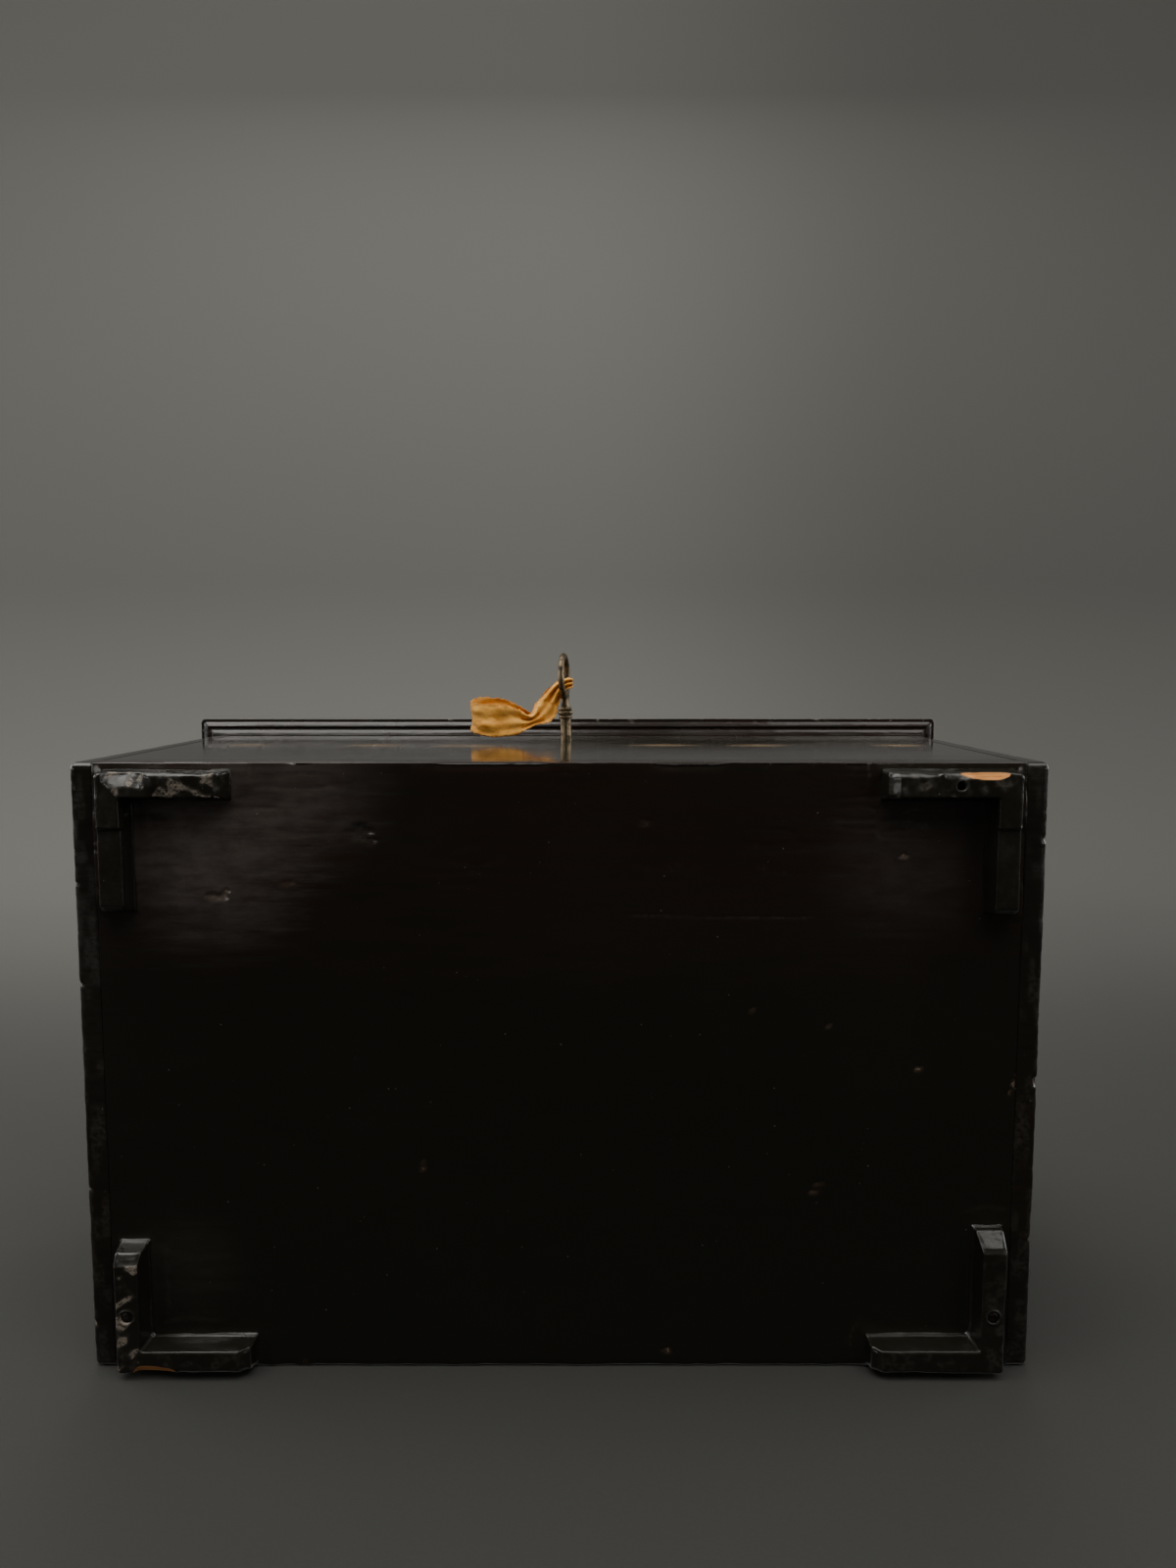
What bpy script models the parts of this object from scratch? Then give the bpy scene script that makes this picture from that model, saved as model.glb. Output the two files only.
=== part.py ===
"""Black lacquered wooden box on four L-shaped feet, with a moulded lid that lifts off.

The carcass is five boards: the two side boards run down to the underside, and the bottom, front
and back boards stand between them. A brass key with a silk ribbon stands in the lock.

Metres, +Z up. The box stands on its feet with its front towards -Y. The origin is on the floor,
in the middle of the box, its lid and the key that stands out of the front.
"""
import math

import bmesh
import bpy
from mathutils import Matrix, Vector

# Carcass
BODY_WIDTH = 0.300
BODY_DEPTH = 0.195
BODY_HEIGHT = 0.143            # from the underside to the rim that carries the lid
WALL = 0.007
BOTTOM_THICKNESS = 0.008
BOARD_EDGE_ROUND = 0.0006
JOINT_GAP = 0.0003             # between two pieces that touch

# Feet
FOOT_HEIGHT = 0.009
FOOT_WIDTH = 0.0096            # of a leg, where it meets the underside
FOOT_SIDE_INSET = 0.0100       # from the side of the box to the foot
FOOT_FRONT_INSET = 0.0020      # from the front or back of the box to the foot
FOOT_OUTER_SLOPE = 0.0008      # how far each side leans in from the underside to the sole
FOOT_INNER_SLOPE = 0.0016
FOOT_END_SLOPE = 0.0010
FOOT_CHAMFER = 0.0026          # cut across the end of each leg, at the sole
FOOT_EDGE_ROUND = 0.0005
FOOT_LEG = 0.0430              # usual length of a leg
# Each hand-cut foot: name, side, front or back, and its legs along X and Y as shares of FOOT_LEG
FEET = (
    ("front_left", -1, -1, 0.93, 1.02),
    ("front_right", 1, -1, 0.97, 1.04),
    ("back_left", -1, 1, 1.00, 0.96),
    ("back_right", 1, 1, 0.99, 1.07),
)

# Nails through the feet
NAIL_FROM_CORNER = 0.0195
NAIL_HEAD_RADIUS = 0.0017
NAIL_HEAD_THICKNESS = 0.0008
NAIL_SHANK_RADIUS = 0.0007
NAIL_LENGTH = 0.0130
NAIL_POINT = 0.0026            # length of its tapered point
NAIL_TIP_RADIUS = 0.0002
NAIL_SIDES = 12
NAIL_SINK = 0.0003             # the head lies this far inside the sole
LOST_NAIL = "front_right_x"    # only its hole is left

# Raw chips out of the soles' outer edges: foot, middle along X, length, depth
CHIPS = (
    ("front_right", 0.1280, 0.0140, 0.0020),
    ("back_left", -0.1265, 0.0110, 0.0020),
)
CHIP_SLANT = math.radians(38)
CHIP_BREADTH = 0.0080

# Lid
LID_BOARD = 0.0100
LID_FIELD_RISE = 0.0040        # the raised middle of the lid
LID_MARGIN = 0.0080            # flat border round the raised middle
LID_SLOPE = 0.0100
LID_STEP = 0.0030              # drops inside the walls
LID_STEP_CLEARANCE = 0.0006
LID_OVERHANG = 0.0068
MOULDING_SEAT = 0.0040         # how far the moulding reaches in over the walls
MOULDING_HEIGHT = 0.0115
MOULDING_WIDEST = 0.0046       # height of its widest part above the rim
BEAD_RADIUS = 0.00095
BEAD_CENTRE = 0.00052          # height of the bead's centre above the rim
GROOVE_WIDTH = 0.0013
ROLL_RADIUS = 0.00115
GROOVE_RISE = 0.0013
LIP_HALF_HEIGHT = 0.0027
TOP_QUIRK = 0.0007

# Key, with lengths along it counted from the front of the box
KEY_BELOW_RIM = 0.0325
KEY_RADIUS = 0.00215
KEY_INSERTED = 0.0090
KEY_REACH = 0.0346
BOW_BREADTH = 0.0200
BOW_HEIGHT = 0.0184
BOW_WIRE_RADIUS = 0.0013
KEY_TURN = math.radians(7)
KEY_LEAN = math.radians(1.7)
COLLAR_STARTS = (0.0086, 0.0100, 0.0118)
COLLAR_WIDTHS = (0.0012, 0.0017, 0.0012)
COLLAR_RADII = (0.00270, 0.00300, 0.00265)
NECK_RADIUS = 0.0018
BIT_LENGTH = 0.0055
BIT_WIDTH = 0.0035
BIT_THICKNESS = 0.0012
BIT_END = 0.0005               # from the bit to the end of the barrel
KEY_END_ROUND = 0.0004
KEY_SIDES = 20
BOW_STEPS = 32
BOW_WIRE_SIDES = 10

# Lock and keyhole
KEYHOLE_CLEARANCE = 0.0006
LOCK_WIDTH = 0.034
LOCK_HEIGHT = 0.026
LOCK_DEPTH = 0.0085
LOCK_PLATE = 0.0012
LOCK_RECESS = 0.0045           # how deep the case is let into the front board

# Ribbon
RIBBON_THICKNESS = 0.0010
RIBBON_REACH = 0.0390          # from the key to the far end of the loop
RIBBON_STEPS = 4               # between two points of its course
# Course of the middle of the ribbon from its tail through the bow to the end of the loop, measured
# from the foot of the key: across, out, up, half width (thirty-ninths of the reach), and turn of
# the width in degrees
RIBBON_COURSE = (
    (3.6, 24.2, -2.4, 1.9, 15),
    (0.0, 23.2, -2.0, 1.9, 8),
    (-3.2, 20.9, -2.4, 2.1, 25),
    (-5.8, 16.6, -3.4, 3.2, 45),
    (-8.8, 11.0, -5.0, 4.6, 44),
    (-13.6, 7.8, -7.0, 2.9, 14),
    (-19.5, 7.3, -11.5, 5.6, -4),
    (-27.5, 7.9, -14.8, 7.1, -3),
    (-35.0, 8.6, -14.9, 7.2, 0),
    (-39.0, 9.3, -11.2, 7.0, 2),
    (-35.2, 9.0, -7.4, 7.0, 0),
    (-27.5, 8.2, -5.6, 6.8, -3),
    (-19.5, 7.8, -5.0, 5.0, -4),
    (-16.0, 7.9, -5.0, 3.0, 0),
)

# Worked out from the above
BODY_Y = (KEY_REACH - LID_OVERHANG) / 2
FRONT_Y = BODY_Y - BODY_DEPTH / 2
BACK_Y = BODY_Y + BODY_DEPTH / 2
UNDERSIDE_Z = FOOT_HEIGHT
RIM_Z = UNDERSIDE_Z + BODY_HEIGHT
LID_Z = RIM_Z + JOINT_GAP
KEY_Z = RIM_Z - KEY_BELOW_RIM
INNER_X = BODY_WIDTH / 2 - WALL
INNER_Y = BODY_DEPTH / 2 - WALL
RIBBON_UNIT = RIBBON_REACH / 39


def clear_scene():
    for thing in list(bpy.data.objects):
        bpy.data.objects.remove(thing, do_unlink=True)


def make_material(name, colour, roughness, metallic=0.0):
    material = bpy.data.materials.new(name)
    material.use_nodes = True
    shader = material.node_tree.nodes["Principled BSDF"]
    shader.inputs["Base Color"].default_value = (*colour, 1)
    shader.inputs["Roughness"].default_value = roughness
    shader.inputs["Metallic"].default_value = metallic
    return material


def add_object(name, mesh, material):
    """Turns a bmesh into an object of the scene."""
    bmesh.ops.recalc_face_normals(mesh, faces=mesh.faces)
    data = bpy.data.meshes.new(name)
    mesh.to_mesh(data)
    mesh.free()
    piece = bpy.data.objects.new(name, data)
    bpy.context.scene.collection.objects.link(piece)
    if material:
        data.materials.append(material)
    return piece


def add_box(name, low, high, material):
    """A block between two corners."""
    low = Vector(low)
    high = Vector(high)
    mesh = bmesh.new()
    bmesh.ops.create_cube(mesh, size=1.0)
    bmesh.ops.scale(mesh, vec=high - low, verts=mesh.verts)
    bmesh.ops.translate(mesh, vec=(high + low) / 2, verts=mesh.verts)
    return add_object(name, mesh, material)


def add_stack(name, rings, material):
    """Joins a stack of rings with equal numbers of points and closes both ends."""
    mesh = bmesh.new()
    loops = [[mesh.verts.new(point) for point in ring] for ring in rings]
    count = len(loops[0])
    for lower, upper in zip(loops, loops[1:]):
        for i in range(count):
            j = (i + 1) % count
            mesh.faces.new((lower[i], lower[j], upper[j], upper[i]))
    mesh.faces.new(loops[0])
    mesh.faces.new(loops[-1])
    return add_object(name, mesh, material)


def add_turned(name, profile, sides, material):
    """Turns (distance, radius) pairs about the Y axis, with distance towards -Y."""
    rings = []
    for distance, radius in profile:
        angles = [2 * math.pi * k / sides for k in range(sides)]
        rings.append([(radius * math.cos(a), -distance, radius * math.sin(a)) for a in angles])
    return add_stack(name, rings, material)


def soften(piece, width, segments=2):
    bevel = piece.modifiers.new("Softened edges", "BEVEL")
    bevel.width = width
    bevel.segments = segments
    bevel.limit_method = "ANGLE"
    bevel.angle_limit = math.radians(30)


def combine(piece, tool, operation):
    """Cuts the tool out of the piece, or joins it on, and leaves the tool as a guide."""
    boolean = piece.modifiers.new(operation.title(), "BOOLEAN")
    boolean.operation = operation
    boolean.solver = "EXACT"
    boolean.object = tool
    tool.hide_render = True
    tool.display_type = "WIRE"


def shade_round(piece):
    piece.data.shade_smooth()
    piece.data.set_sharp_from_angle(angle=math.radians(35))


def make_side_boards(material):
    """The side boards run the full depth, and from the underside to the rim."""
    for name, side in (("left_board", -1), ("right_board", 1)):
        faces = sorted((side * BODY_WIDTH / 2, side * INNER_X))
        board = add_box(name, (faces[0], FRONT_Y, UNDERSIDE_Z), (faces[1], BACK_Y, RIM_Z), material)
        soften(board, BOARD_EDGE_ROUND)


def make_bottom_board(material):
    """Between the side boards, with a blind hole for each nail of the feet."""
    reach = INNER_X - JOINT_GAP
    top = UNDERSIDE_Z + BOTTOM_THICKNESS
    board = add_box("bottom_board", (-reach, FRONT_Y, UNDERSIDE_Z), (reach, BACK_Y, top), material)
    soften(board, BOARD_EDGE_ROUND)
    depth = NAIL_SINK + NAIL_LENGTH + JOINT_GAP
    for nail, x, y in nail_places():
        hole = add_nail_hole("bottom_hole_" + nail, x, y, NAIL_SHANK_RADIUS + JOINT_GAP, -FOOT_HEIGHT, depth)
        combine(board, hole, "DIFFERENCE")


def make_front_board(material):
    """Stands on the bottom board. The keyhole runs into a recess that holds the lock."""
    reach = INNER_X - JOINT_GAP
    foot = UNDERSIDE_Z + BOTTOM_THICKNESS + JOINT_GAP
    board = add_box("front_board", (-reach, FRONT_Y, foot), (reach, FRONT_Y + WALL, RIM_Z), material)
    soften(board, BOARD_EDGE_ROUND)
    half_width = LOCK_WIDTH / 2 + JOINT_GAP
    half_height = LOCK_HEIGHT / 2 + JOINT_GAP
    recess = add_box(
        "lock_recess",
        (-half_width, FRONT_Y + WALL - LOCK_RECESS, KEY_Z - half_height),
        (half_width, FRONT_Y + 2 * WALL, KEY_Z + half_height),
        None,
    )
    combine(board, recess, "DIFFERENCE")
    radius = KEY_RADIUS + KEYHOLE_CLEARANCE
    hole = add_turned("keyhole_round", ((-WALL, radius), (WALL, radius)), KEY_SIDES, None)
    hole.location = (0, FRONT_Y, KEY_Z)
    combine(board, hole, "DIFFERENCE")
    half_slot = BIT_THICKNESS / 2 + KEYHOLE_CLEARANCE
    slot = add_box(
        "keyhole_slot",
        (-half_slot, FRONT_Y - WALL, KEY_Z - BIT_LENGTH - KEYHOLE_CLEARANCE),
        (half_slot, FRONT_Y + WALL, KEY_Z),
        None,
    )
    combine(board, slot, "DIFFERENCE")


def make_back_board(material):
    reach = INNER_X - JOINT_GAP
    foot = UNDERSIDE_Z + BOTTOM_THICKNESS + JOINT_GAP
    board = add_box("back_board", (-reach, BACK_Y - WALL, foot), (reach, BACK_Y, RIM_Z), material)
    soften(board, BOARD_EDGE_ROUND)


def foot_corner(side, end):
    """The outer corner of a foot, where it meets the underside."""
    x = side * (BODY_WIDTH / 2 - FOOT_SIDE_INSET)
    y = BODY_Y + end * (BODY_DEPTH / 2 - FOOT_FRONT_INSET)
    return x, y


def nail_places():
    """Name and place of each nail, in the middle of the sole of each leg."""
    middle = (FOOT_WIDTH + FOOT_OUTER_SLOPE - FOOT_INNER_SLOPE) / 2
    places = []
    for name, side, end, share_x, share_y in FEET:
        x, y = foot_corner(side, end)
        places.append((name + "_x", x - side * NAIL_FROM_CORNER, y - end * middle))
        places.append((name + "_y", x - side * middle, y - end * NAIL_FROM_CORNER))
    return places


def add_nail_hole(name, x, y, radius, low, high):
    """A round cutter along Z."""
    length = high - low
    mesh = bmesh.new()
    bmesh.ops.create_cone(
        mesh, cap_ends=True, segments=NAIL_SIDES, radius1=radius, radius2=radius, depth=length
    )
    bmesh.ops.translate(mesh, vec=(x, y, low + length / 2), verts=mesh.verts)
    return add_object(name, mesh, None)


def foot_ring(side, end, share_x, share_y, lean, cut, z):
    """The L of a foot at one height: lean runs from 0 at the underside to 1 at the sole."""
    outer = FOOT_OUTER_SLOPE * lean
    inner = FOOT_WIDTH - FOOT_INNER_SLOPE * lean
    end_x = FOOT_LEG * share_x - FOOT_END_SLOPE * lean - cut
    end_y = FOOT_LEG * share_y - FOOT_END_SLOPE * lean - cut
    leg_x = ((outer, outer), (end_x, outer), (end_x, inner))
    leg_y = ((inner, inner), (inner, end_y), (outer, end_y))
    x, y = foot_corner(side, end)
    return [(x - side * across, y - end * along, z) for across, along in leg_x + leg_y]


def make_chip(foot, name, side, end, middle, length, depth):
    """A slanting split along the outer edge of the sole."""
    chip = add_box(
        "chip_" + name,
        (-length / 2, -CHIP_BREADTH / 2, -CHIP_BREADTH),
        (length / 2, CHIP_BREADTH / 2, 0),
        None,
    )
    edge = foot_corner(side, end)[1] - end * FOOT_OUTER_SLOPE
    chip.rotation_euler = (end * CHIP_SLANT, 0, 0)
    chip.location = (middle, edge - end * depth / 2, depth / 2)
    combine(foot, chip, "DIFFERENCE")


def make_feet(material):
    """L-shaped feet with leaning sides and chamfered ends, bored for their nails."""
    top = FOOT_HEIGHT - JOINT_GAP
    waist = FOOT_CHAMFER
    waist_lean = 1 - FOOT_CHAMFER / FOOT_HEIGHT
    for name, side, end, share_x, share_y in FEET:
        rings = (
            foot_ring(side, end, share_x, share_y, 1, FOOT_CHAMFER, 0),
            foot_ring(side, end, share_x, share_y, waist_lean, 0, waist),
            foot_ring(side, end, share_x, share_y, 0, 0, top),
        )
        foot = add_stack("foot_" + name, rings, material)
        soften(foot, FOOT_EDGE_ROUND)
        for nail, x, y in nail_places():
            if not nail.startswith(name):
                continue
            bore = add_nail_hole(
                "bore_" + nail, x, y, NAIL_SHANK_RADIUS + JOINT_GAP, -FOOT_HEIGHT, 2 * FOOT_HEIGHT
            )
            combine(foot, bore, "DIFFERENCE")
            seat = add_nail_hole(
                "seat_" + nail,
                x,
                y,
                NAIL_HEAD_RADIUS + JOINT_GAP,
                -FOOT_HEIGHT,
                NAIL_SINK + NAIL_HEAD_THICKNESS + JOINT_GAP,
            )
            combine(foot, seat, "DIFFERENCE")
        for chipped, middle, length, depth in CHIPS:
            if chipped == name:
                make_chip(foot, name, side, end, middle, length, depth)


def make_nails(material):
    """A flat head in the sole and a shank up into the bottom board."""
    for nail, x, y in nail_places():
        if nail == LOST_NAIL:
            continue
        profile = (
            (0, NAIL_HEAD_RADIUS),
            (NAIL_HEAD_THICKNESS, NAIL_HEAD_RADIUS),
            (NAIL_HEAD_THICKNESS, NAIL_SHANK_RADIUS),
            (NAIL_LENGTH - NAIL_POINT, NAIL_SHANK_RADIUS),
            (NAIL_LENGTH, NAIL_TIP_RADIUS),
        )
        piece = add_turned("foot_nail_" + nail, profile, NAIL_SIDES, material)
        piece.rotation_euler = (-math.pi / 2, 0, 0)
        piece.location = (x, y, NAIL_SINK)


def rectangle(half_x, half_y, z):
    return [
        (-half_x, BODY_Y - half_y, z),
        (half_x, BODY_Y - half_y, z),
        (half_x, BODY_Y + half_y, z),
        (-half_x, BODY_Y + half_y, z),
    ]


def make_lid_panel(material):
    """A board with a raised middle, and a step below that drops inside the walls."""
    step_x = INNER_X - LID_STEP_CLEARANCE
    step_y = INNER_Y - LID_STEP_CLEARANCE
    board_x = BODY_WIDTH / 2 - MOULDING_SEAT - JOINT_GAP
    board_y = BODY_DEPTH / 2 - MOULDING_SEAT - JOINT_GAP
    field = LID_MARGIN + LID_SLOPE
    rings = (
        rectangle(step_x, step_y, LID_Z - LID_STEP),
        rectangle(step_x, step_y, LID_Z),
        rectangle(board_x, board_y, LID_Z),
        rectangle(board_x, board_y, LID_Z + LID_BOARD),
        rectangle(board_x - LID_MARGIN, board_y - LID_MARGIN, LID_Z + LID_BOARD),
        rectangle(board_x - field, board_y - field, LID_Z + LID_BOARD + LID_FIELD_RISE),
    )
    panel = add_stack("lid_panel", rings, material)
    soften(panel, BOARD_EDGE_ROUND)


def arc(centre, radii, start, stop, steps):
    """Points along an ellipse, with the angles in degrees."""
    points = []
    for k in range(steps + 1):
        angle = math.radians(start + (stop - start) * k / steps)
        points.append((centre[0] + radii[0] * math.cos(angle), centre[1] + radii[1] * math.sin(angle)))
    return points


def moulding_profile():
    """Outline of the moulding: distance out from the face of the box, and height above the rim.

    It runs out along the underside over a bead, a groove and a roll, round the rounded lip, and
    back over a hollow to the top.
    """
    bead_end = 2 * BEAD_RADIUS
    roll_start = bead_end + GROOVE_WIDTH
    roll_end = roll_start + 2 * ROLL_RADIUS
    lip = LID_OVERHANG - roll_end
    half_groove = GROOVE_WIDTH / 2
    bead_start = 180 + math.degrees(math.asin(BEAD_CENTRE / BEAD_RADIUS))
    lip_top = MOULDING_WIDEST + LIP_HALF_HEIGHT
    hollow_start = roll_end - TOP_QUIRK
    hollow_low = lip_top + TOP_QUIRK
    hollow = MOULDING_HEIGHT - hollow_low
    outline = [(-MOULDING_SEAT, 0)]
    outline += arc((BEAD_RADIUS, BEAD_CENTRE), (BEAD_RADIUS, BEAD_RADIUS), bead_start, 360, 6)
    outline += arc((bead_end + half_groove, GROOVE_RISE), (half_groove, half_groove), 180, 0, 4)
    outline += arc((roll_start + ROLL_RADIUS, GROOVE_RISE), (ROLL_RADIUS, ROLL_RADIUS), 180, 360, 6)[1:]
    outline += arc((roll_end, MOULDING_WIDEST), (lip, LIP_HALF_HEIGHT), -90, 90, 8)
    outline += [(hollow_start, lip_top)]
    outline += arc((hollow_start, MOULDING_HEIGHT), (hollow, hollow), 270, 180, 6)
    outline += [(-MOULDING_SEAT, MOULDING_HEIGHT)]
    return outline


def make_mouldings(material):
    """Four lengths of the moulding, mitred at the corners."""
    mitre = JOINT_GAP / 2
    turns = (
        ("front", BODY_WIDTH, BODY_DEPTH, 0),
        ("right", BODY_DEPTH, BODY_WIDTH, 1),
        ("back", BODY_WIDTH, BODY_DEPTH, 2),
        ("left", BODY_DEPTH, BODY_WIDTH, 3),
    )
    profile = moulding_profile()
    for name, length, across, quarter in turns:
        rings = []
        for end in (-1, 1):
            ring = [(end * (length / 2 + out - mitre), -across / 2 - out, LID_Z + up) for out, up in profile]
            rings.append(ring)
        strip = add_stack("lid_moulding_" + name, rings, material)
        turn = Matrix.Translation((0, BODY_Y, 0)) @ Matrix.Rotation(quarter * math.pi / 2, 4, "Z")
        strip.data.transform(turn)
        shade_round(strip)


def make_lock_case(material):
    """A brass tray, open towards the front board, that the key turns in."""
    front = FRONT_Y + WALL - LOCK_RECESS + JOINT_GAP
    case = add_box(
        "lock_case",
        (-LOCK_WIDTH / 2, front, KEY_Z - LOCK_HEIGHT / 2),
        (LOCK_WIDTH / 2, front + LOCK_DEPTH, KEY_Z + LOCK_HEIGHT / 2),
        material,
    )
    soften(case, BOARD_EDGE_ROUND / 2)
    half_width = LOCK_WIDTH / 2 - LOCK_PLATE
    half_height = LOCK_HEIGHT / 2 - LOCK_PLATE
    hollow = add_box(
        "lock_hollow",
        (-half_width, front - WALL, KEY_Z - half_height),
        (half_width, front + LOCK_DEPTH - LOCK_PLATE, KEY_Z + half_height),
        None,
    )
    combine(case, hollow, "DIFFERENCE")


def key_profile():
    """Barrel, three collars and a neck up to the bow: distance out and radius."""
    profile = [
        (-KEY_INSERTED, KEY_RADIUS - KEY_END_ROUND),
        (-KEY_INSERTED + KEY_END_ROUND, KEY_RADIUS),
    ]
    for start, width, radius in zip(COLLAR_STARTS, COLLAR_WIDTHS, COLLAR_RADII):
        low = KEY_RADIUS if start == COLLAR_STARTS[0] else NECK_RADIUS
        profile.append((start, low))
        profile += arc((start + width / 2, radius - width / 2), (width / 2, width / 2), 180, 0, 4)
    neck = COLLAR_STARTS[-1] + COLLAR_WIDTHS[-1]
    profile.append((neck, NECK_RADIUS))
    profile.append((KEY_REACH - BOW_HEIGHT + BOW_WIRE_RADIUS, BOW_WIRE_RADIUS))
    return profile


def make_bow(material):
    """The ring bow: round wire bent into an oval in the Y-Z plane."""
    half_breadth = BOW_BREADTH / 2 - BOW_WIRE_RADIUS
    half_height = BOW_HEIGHT / 2 - BOW_WIRE_RADIUS
    sideways = Vector((BOW_WIRE_RADIUS, 0, 0))
    mesh = bmesh.new()
    loops = []
    for k in range(BOW_STEPS):
        angle = 2 * math.pi * k / BOW_STEPS
        centre = Vector((0, -half_height * math.cos(angle), half_breadth * math.sin(angle)))
        outward = Vector((0, -half_breadth * math.cos(angle), half_height * math.sin(angle)))
        outward = outward.normalized() * BOW_WIRE_RADIUS
        loop = []
        for m in range(BOW_WIRE_SIDES):
            around = 2 * math.pi * m / BOW_WIRE_SIDES
            loop.append(mesh.verts.new(centre + outward * math.cos(around) + sideways * math.sin(around)))
        loops.append(loop)
    for k in range(BOW_STEPS):
        here = loops[k]
        following = loops[(k + 1) % BOW_STEPS]
        for m in range(BOW_WIRE_SIDES):
            n = (m + 1) % BOW_WIRE_SIDES
            mesh.faces.new((here[m], here[n], following[n], following[m]))
    bow = add_object("bow_ring", mesh, material)
    bow.location = (0, -(KEY_REACH - BOW_HEIGHT / 2), 0)
    return bow


def make_key(material):
    """The key, built along -Y from the front of the box, then turned and leaning in the lock."""
    key = add_turned("key", key_profile(), KEY_SIDES, material)
    bow = make_bow(material)
    combine(key, bow, "UNION")
    bit_start = KEY_INSERTED - BIT_END - BIT_WIDTH
    bit = add_box(
        "key_bit",
        (-BIT_THICKNESS / 2, bit_start, -BIT_LENGTH),
        (BIT_THICKNESS / 2, bit_start + BIT_WIDTH, 0),
        material,
    )
    combine(key, bit, "UNION")
    stand = bpy.data.objects.new("key_place", None)
    bpy.context.scene.collection.objects.link(stand)
    stand.location = (0, FRONT_Y, KEY_Z)
    stand.rotation_euler = (Matrix.Rotation(-KEY_LEAN, 3, "Z") @ Matrix.Rotation(KEY_TURN, 3, "Y")).to_euler()
    for part in (key, bow, bit):
        part.parent = stand
    shade_round(key)


def smooth_course(points, steps):
    """A smooth curve through the points (Catmull-Rom), with steps between each two."""
    course = []
    last = len(points) - 1
    for i in range(last):
        a, b, c, d = (Vector(points[max(0, min(last, i + k))]) for k in (-1, 0, 1, 2))
        square = 2 * a - 5 * b + 4 * c - d
        cube = 3 * b - a - 3 * c + d
        for s in range(steps):
            t = s / steps
            course.append(0.5 * (2 * b + (c - a) * t + square * t**2 + cube * t**3))
    course.append(Vector(points[last]))
    return course


def make_ribbon(material):
    """A flat band along the ribbon's course, its width turned about Z."""
    course = [(across, -out, up) for across, out, up, half, turn in RIBBON_COURSE]
    spread = [(half, turn, 0) for across, out, up, half, turn in RIBBON_COURSE]
    places = smooth_course(course, RIBBON_STEPS)
    widths = smooth_course(spread, RIBBON_STEPS)
    rings = []
    for k, place in enumerate(places):
        ahead = places[min(k + 1, len(places) - 1)] - places[max(k - 1, 0)]
        half, turn = widths[k][0], math.radians(widths[k][1])
        width = Vector((-math.sin(turn), -math.cos(turn), 0)) * half
        depth = ahead.cross(width).normalized() * (RIBBON_THICKNESS / RIBBON_UNIT / 2)
        near, far = place - width, place + width
        corners = (near - depth, far - depth, far + depth, near + depth)
        rings.append([Vector((0, FRONT_Y, KEY_Z)) + corner * RIBBON_UNIT for corner in corners])
    add_stack("ribbon", rings, material)


def main():
    clear_scene()
    lacquer = make_material("Black lacquer", (0.012, 0.010, 0.010), 0.22)
    worn = make_material("Lacquer of the feet", (0.016, 0.014, 0.013), 0.35)
    brown = make_material("Aubergine brown lacquer", (0.030, 0.016, 0.020), 0.20)
    iron = make_material("Dark iron", (0.05, 0.045, 0.04), 0.6, 0.8)
    brass = make_material("Aged brass", (0.30, 0.25, 0.16), 0.45, 0.9)
    silk = make_material("Orange gold silk", (0.58, 0.25, 0.04), 0.6)
    make_side_boards(lacquer)
    make_bottom_board(lacquer)
    make_front_board(lacquer)
    make_back_board(lacquer)
    make_feet(worn)
    make_nails(iron)
    make_lid_panel(lacquer)
    make_mouldings(brown)
    make_lock_case(brass)
    make_key(brass)
    make_ribbon(silk)


main()
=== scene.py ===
import bpy
import numpy as np
from mathutils import Matrix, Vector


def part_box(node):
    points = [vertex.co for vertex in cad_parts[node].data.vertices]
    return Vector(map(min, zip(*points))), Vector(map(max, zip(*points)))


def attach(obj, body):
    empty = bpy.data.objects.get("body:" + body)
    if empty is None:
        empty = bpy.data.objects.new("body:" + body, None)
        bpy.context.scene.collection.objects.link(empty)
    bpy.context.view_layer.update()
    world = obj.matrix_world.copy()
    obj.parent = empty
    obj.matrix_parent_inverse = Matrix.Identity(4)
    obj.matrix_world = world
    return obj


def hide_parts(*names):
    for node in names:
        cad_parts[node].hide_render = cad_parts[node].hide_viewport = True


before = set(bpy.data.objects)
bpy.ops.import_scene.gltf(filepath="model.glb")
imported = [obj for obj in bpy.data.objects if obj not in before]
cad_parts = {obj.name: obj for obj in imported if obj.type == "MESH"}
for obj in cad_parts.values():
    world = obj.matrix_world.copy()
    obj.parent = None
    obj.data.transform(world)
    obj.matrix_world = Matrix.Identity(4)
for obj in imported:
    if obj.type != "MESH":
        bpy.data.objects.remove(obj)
for leftover in ("Cube", "Camera", "Light"):
    if leftover in bpy.data.objects:
        bpy.data.objects.remove(bpy.data.objects[leftover])
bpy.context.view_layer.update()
mm = 0.001

# Lacquer box on four L-shaped feet. The bottom, sides, feet, nails, lid moulding, key and ribbon get fine
# surfaces with their wear, the other pieces keep the frame's shape, and everything is placed from the
# frame's own boxes.


def nodeBox(name):
    low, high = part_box(name)
    return np.array(low, float), np.array(high, float)


leftLow, leftHigh = nodeBox("left_board")
rightLow, rightHigh = nodeBox("right_board")
frontY, backY = leftLow[1], leftHigh[1]
undersideZ = leftLow[2]
leftX, rightX = leftLow[0], rightHigh[0]
innerX = rightLow[0]                      # where the side boards start
middleY = (frontY + backY) / 2
keyLow, keyHigh = nodeBox("key")
keyFoot = np.array([0.0, frontY, (keyLow[2] + keyHigh[2]) / 2])


def pieceName(node):
    # the name of the fine piece that stands for a node, such as footFrontLeft
    words = node.split("_")
    return words[0] + "".join(word.title() for word in words[1:])


# Numbers and surfaces


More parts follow.
